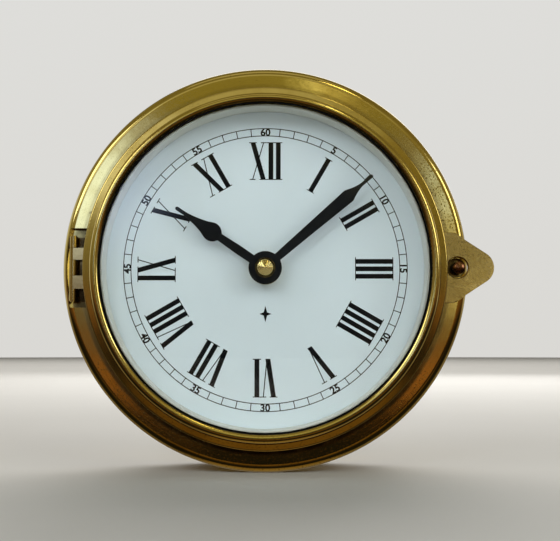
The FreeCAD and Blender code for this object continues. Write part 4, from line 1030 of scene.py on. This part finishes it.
def make_room():
    """A dim room for the brass to mirror, and a plain pale backdrop for the camera."""
    world = bpy.data.worlds.new("studio")
    bpy.context.scene.world = world
    world.use_nodes = True
    tree = world.node_tree
    backdrop = tree.nodes["Background"]
    coords = tree.nodes.new("ShaderNodeTexCoord")
    parts = tree.nodes.new("ShaderNodeSeparateXYZ")
    tree.links.new(coords.outputs["Generated"], parts.inputs[0])
    east, north, up = (parts.outputs[axis] for axis in "XYZ")

    def ramp(socket, low, high, stops):
        """Colours along a direction's part from low to high, at shares of the way."""
        spread = tree.nodes.new("ShaderNodeMapRange")
        spread.inputs["From Min"].default_value = low
        spread.inputs["From Max"].default_value = high
        tree.links.new(socket, spread.inputs["Value"])
        made = tree.nodes.new("ShaderNodeValToRGB")
        tree.links.new(spread.outputs["Result"], made.inputs["Fac"])
        elements = made.color_ramp.elements
        while len(elements) < len(stops):
            elements.new(0.5)
        for element, (at, colour) in zip(elements, stops):
            element.position = at
            element.color = (*colour, 1.0)
        return made.outputs["Color"]

    def blended(factor, a, b):
        mix = tree.nodes.new("ShaderNodeMix")
        mix.data_type = "RGBA"
        for socket, value in ((0, factor), (6, a), (7, b)):
            if isinstance(value, tuple):
                mix.inputs[socket].default_value = (*value, 1.0)
            else:
                tree.links.new(value, mix.inputs[socket])
        return mix.outputs[2]

    def calc(operation, a, b):
        made = tree.nodes.new("ShaderNodeMath")
        made.operation = operation
        for k, value in enumerate((a, b)):
            if isinstance(value, (int, float)):
                made.inputs[k].default_value = value
            else:
                tree.links.new(value, made.inputs[k])
        return made.outputs[0]

    def patched(under, x, z, half_x, half_z, colour, soft):
        """The room with an oval patch in front of the clock, plain out to its soft share."""
        a = calc("DIVIDE", calc("SUBTRACT", east, x), half_x)
        b = calc("DIVIDE", calc("SUBTRACT", up, z), half_z)
        away = calc("SQRT", calc("ADD", calc("MULTIPLY", a, a), calc("MULTIPLY", b, b)), 0.0)
        edge = tree.nodes.new("ShaderNodeMapRange")
        edge.interpolation_type = "SMOOTHSTEP"
        tree.links.new(away, edge.inputs["Value"])
        for key, number in (("From Min", soft), ("From Max", 1.25), ("To Min", 1.0), ("To Max", 0.0)):
            edge.inputs[key].default_value = number
        return blended(edge.outputs["Result"], under, colour)

    room = ramp(up, -1.0, 1.0, (
        (0.0, (0.26, 0.17, 0.06)), (0.03, (0.20, 0.12, 0.04)), (0.06, (0.012, 0.010, 0.006)),
        (0.42, (0.015, 0.012, 0.008)), (0.47, (0.16, 0.075, 0.025)), (0.54, (0.20, 0.165, 0.07)),
        (0.75, (0.30, 0.26, 0.11)), (0.85, (0.22, 0.18, 0.06)), (1.0, (0.19, 0.155, 0.05))))
    front = ramp(up, -0.5, 0.5, (
        (0.0, (0.08, 0.04, 0.012)), (0.08, (0.15, 0.078, 0.018)), (0.26, (0.17, 0.085, 0.018)),
        (0.31, (0.012, 0.010, 0.007)), (0.440, (0.008, 0.007, 0.005)), (0.452, (0.31, 0.125, 0.035)),
        (0.49, (0.24, 0.105, 0.03)), (0.52, (0.13, 0.10, 0.06)), (0.62, (0.22, 0.185, 0.09)),
        (0.74, (0.27, 0.225, 0.055)), (0.84, (0.32, 0.27, 0.10)), (1.0, (0.62, 0.58, 0.38))))
    patches = (
        (-0.014, 0.07, 0.115, 0.115, (0.022, 0.024, 0.024), 0.8),   # dark, straight ahead
        (-0.41, 0.38, 0.17, 0.17, (1.25, 1.28, 1.25), 0.75),        # bright, upper left
        (-0.20, 0.15, 0.10, 0.085, (1.4, 1.75, 2.8), 0.25),         # sky, left
        (0.166, 0.138, 0.032, 0.045, (1.6, 2.1, 3.4), 0.3),         # sky, right
        (0.215, 0.072, 0.065, 0.040, (1.9, 1.8, 1.22), 0.5),        # for the tab
        (0.048, 0.245, 0.028, 0.03, (1.5, 1.4, 0.75), 0.2),         # warm, above
    )
    for patch in patches:
        front = patched(front, *patch)
    facing = ramp(north, -1.0, -0.72, (
        (0.0, (1.0, 1.0, 1.0)), (0.35, (0.8, 0.8, 0.8)), (1.0, (0.0, 0.0, 0.0))))
    wall = ramp(up, -1.0, 1.0, (
        (0.0, (0.26, 0.20, 0.13)), (0.42, (0.34, 0.28, 0.20)), (0.455, (0.62, 0.60, 0.57)),
        (0.5, (0.70, 0.69, 0.66)), (0.66, (0.76, 0.76, 0.74)), (0.74, (0.30, 0.26, 0.14)),
        (1.0, (0.20, 0.17, 0.06))))
    behind = ramp(north, -0.1, 0.5, ((0.0, (0.0, 0.0, 0.0)), (1.0, (1.0, 1.0, 1.0))))
    mirrored = blended(behind, blended(facing, room, front), wall)
    seen = ramp(up, -0.3, 0.6, (
        (0.0, (0.66, 0.65, 0.62)), (0.33, (0.70, 0.69, 0.66)), (1.0, (0.76, 0.76, 0.74))))
    rays = tree.nodes.new("ShaderNodeLightPath")
    tree.links.new(blended(rays.outputs["Is Camera Ray"], mirrored, seen), backdrop.inputs["Color"])
    backdrop.inputs["Strength"].default_value = 1.0
    world.cycles_visibility.diffuse = False


def make_camera():
    """Straight on to the dial, a few degrees below its axis, at arm's length."""
    distance, below, view_width = 0.40, 4.0, 0.208256
    data = bpy.data.cameras.new("camera")
    data.sensor_width = 36.0
    data.lens = data.sensor_width * distance / view_width
    camera = bpy.data.objects.new("camera", data)
    bpy.context.scene.collection.objects.link(camera)
    aim = Vector((5.5, -SHOULDER, -1.0)) * MM
    tilt = math.radians(below)
    back = Vector((0, -math.cos(tilt), -math.sin(tilt)))
    camera.location = aim + back * distance
    camera.rotation_mode = "QUATERNION"
    camera.rotation_quaternion = (-back).to_track_quat("-Z", "Y")
    data.clip_start = 0.01
    bpy.context.scene.camera = camera


dress_frame_nodes()
dress_hinge()
make_case()
make_bezel()
make_tab()
make_stud()
make_catch_coil()
make_dial()
make_glass()
make_roman_numerals()
make_minute_track()
make_minute_numerals()
make_star()
make_hands()
make_hand_nut()
make_floor()
make_lights()
make_room()
make_camera()
bpy.context.scene.view_settings.view_transform = "Standard"
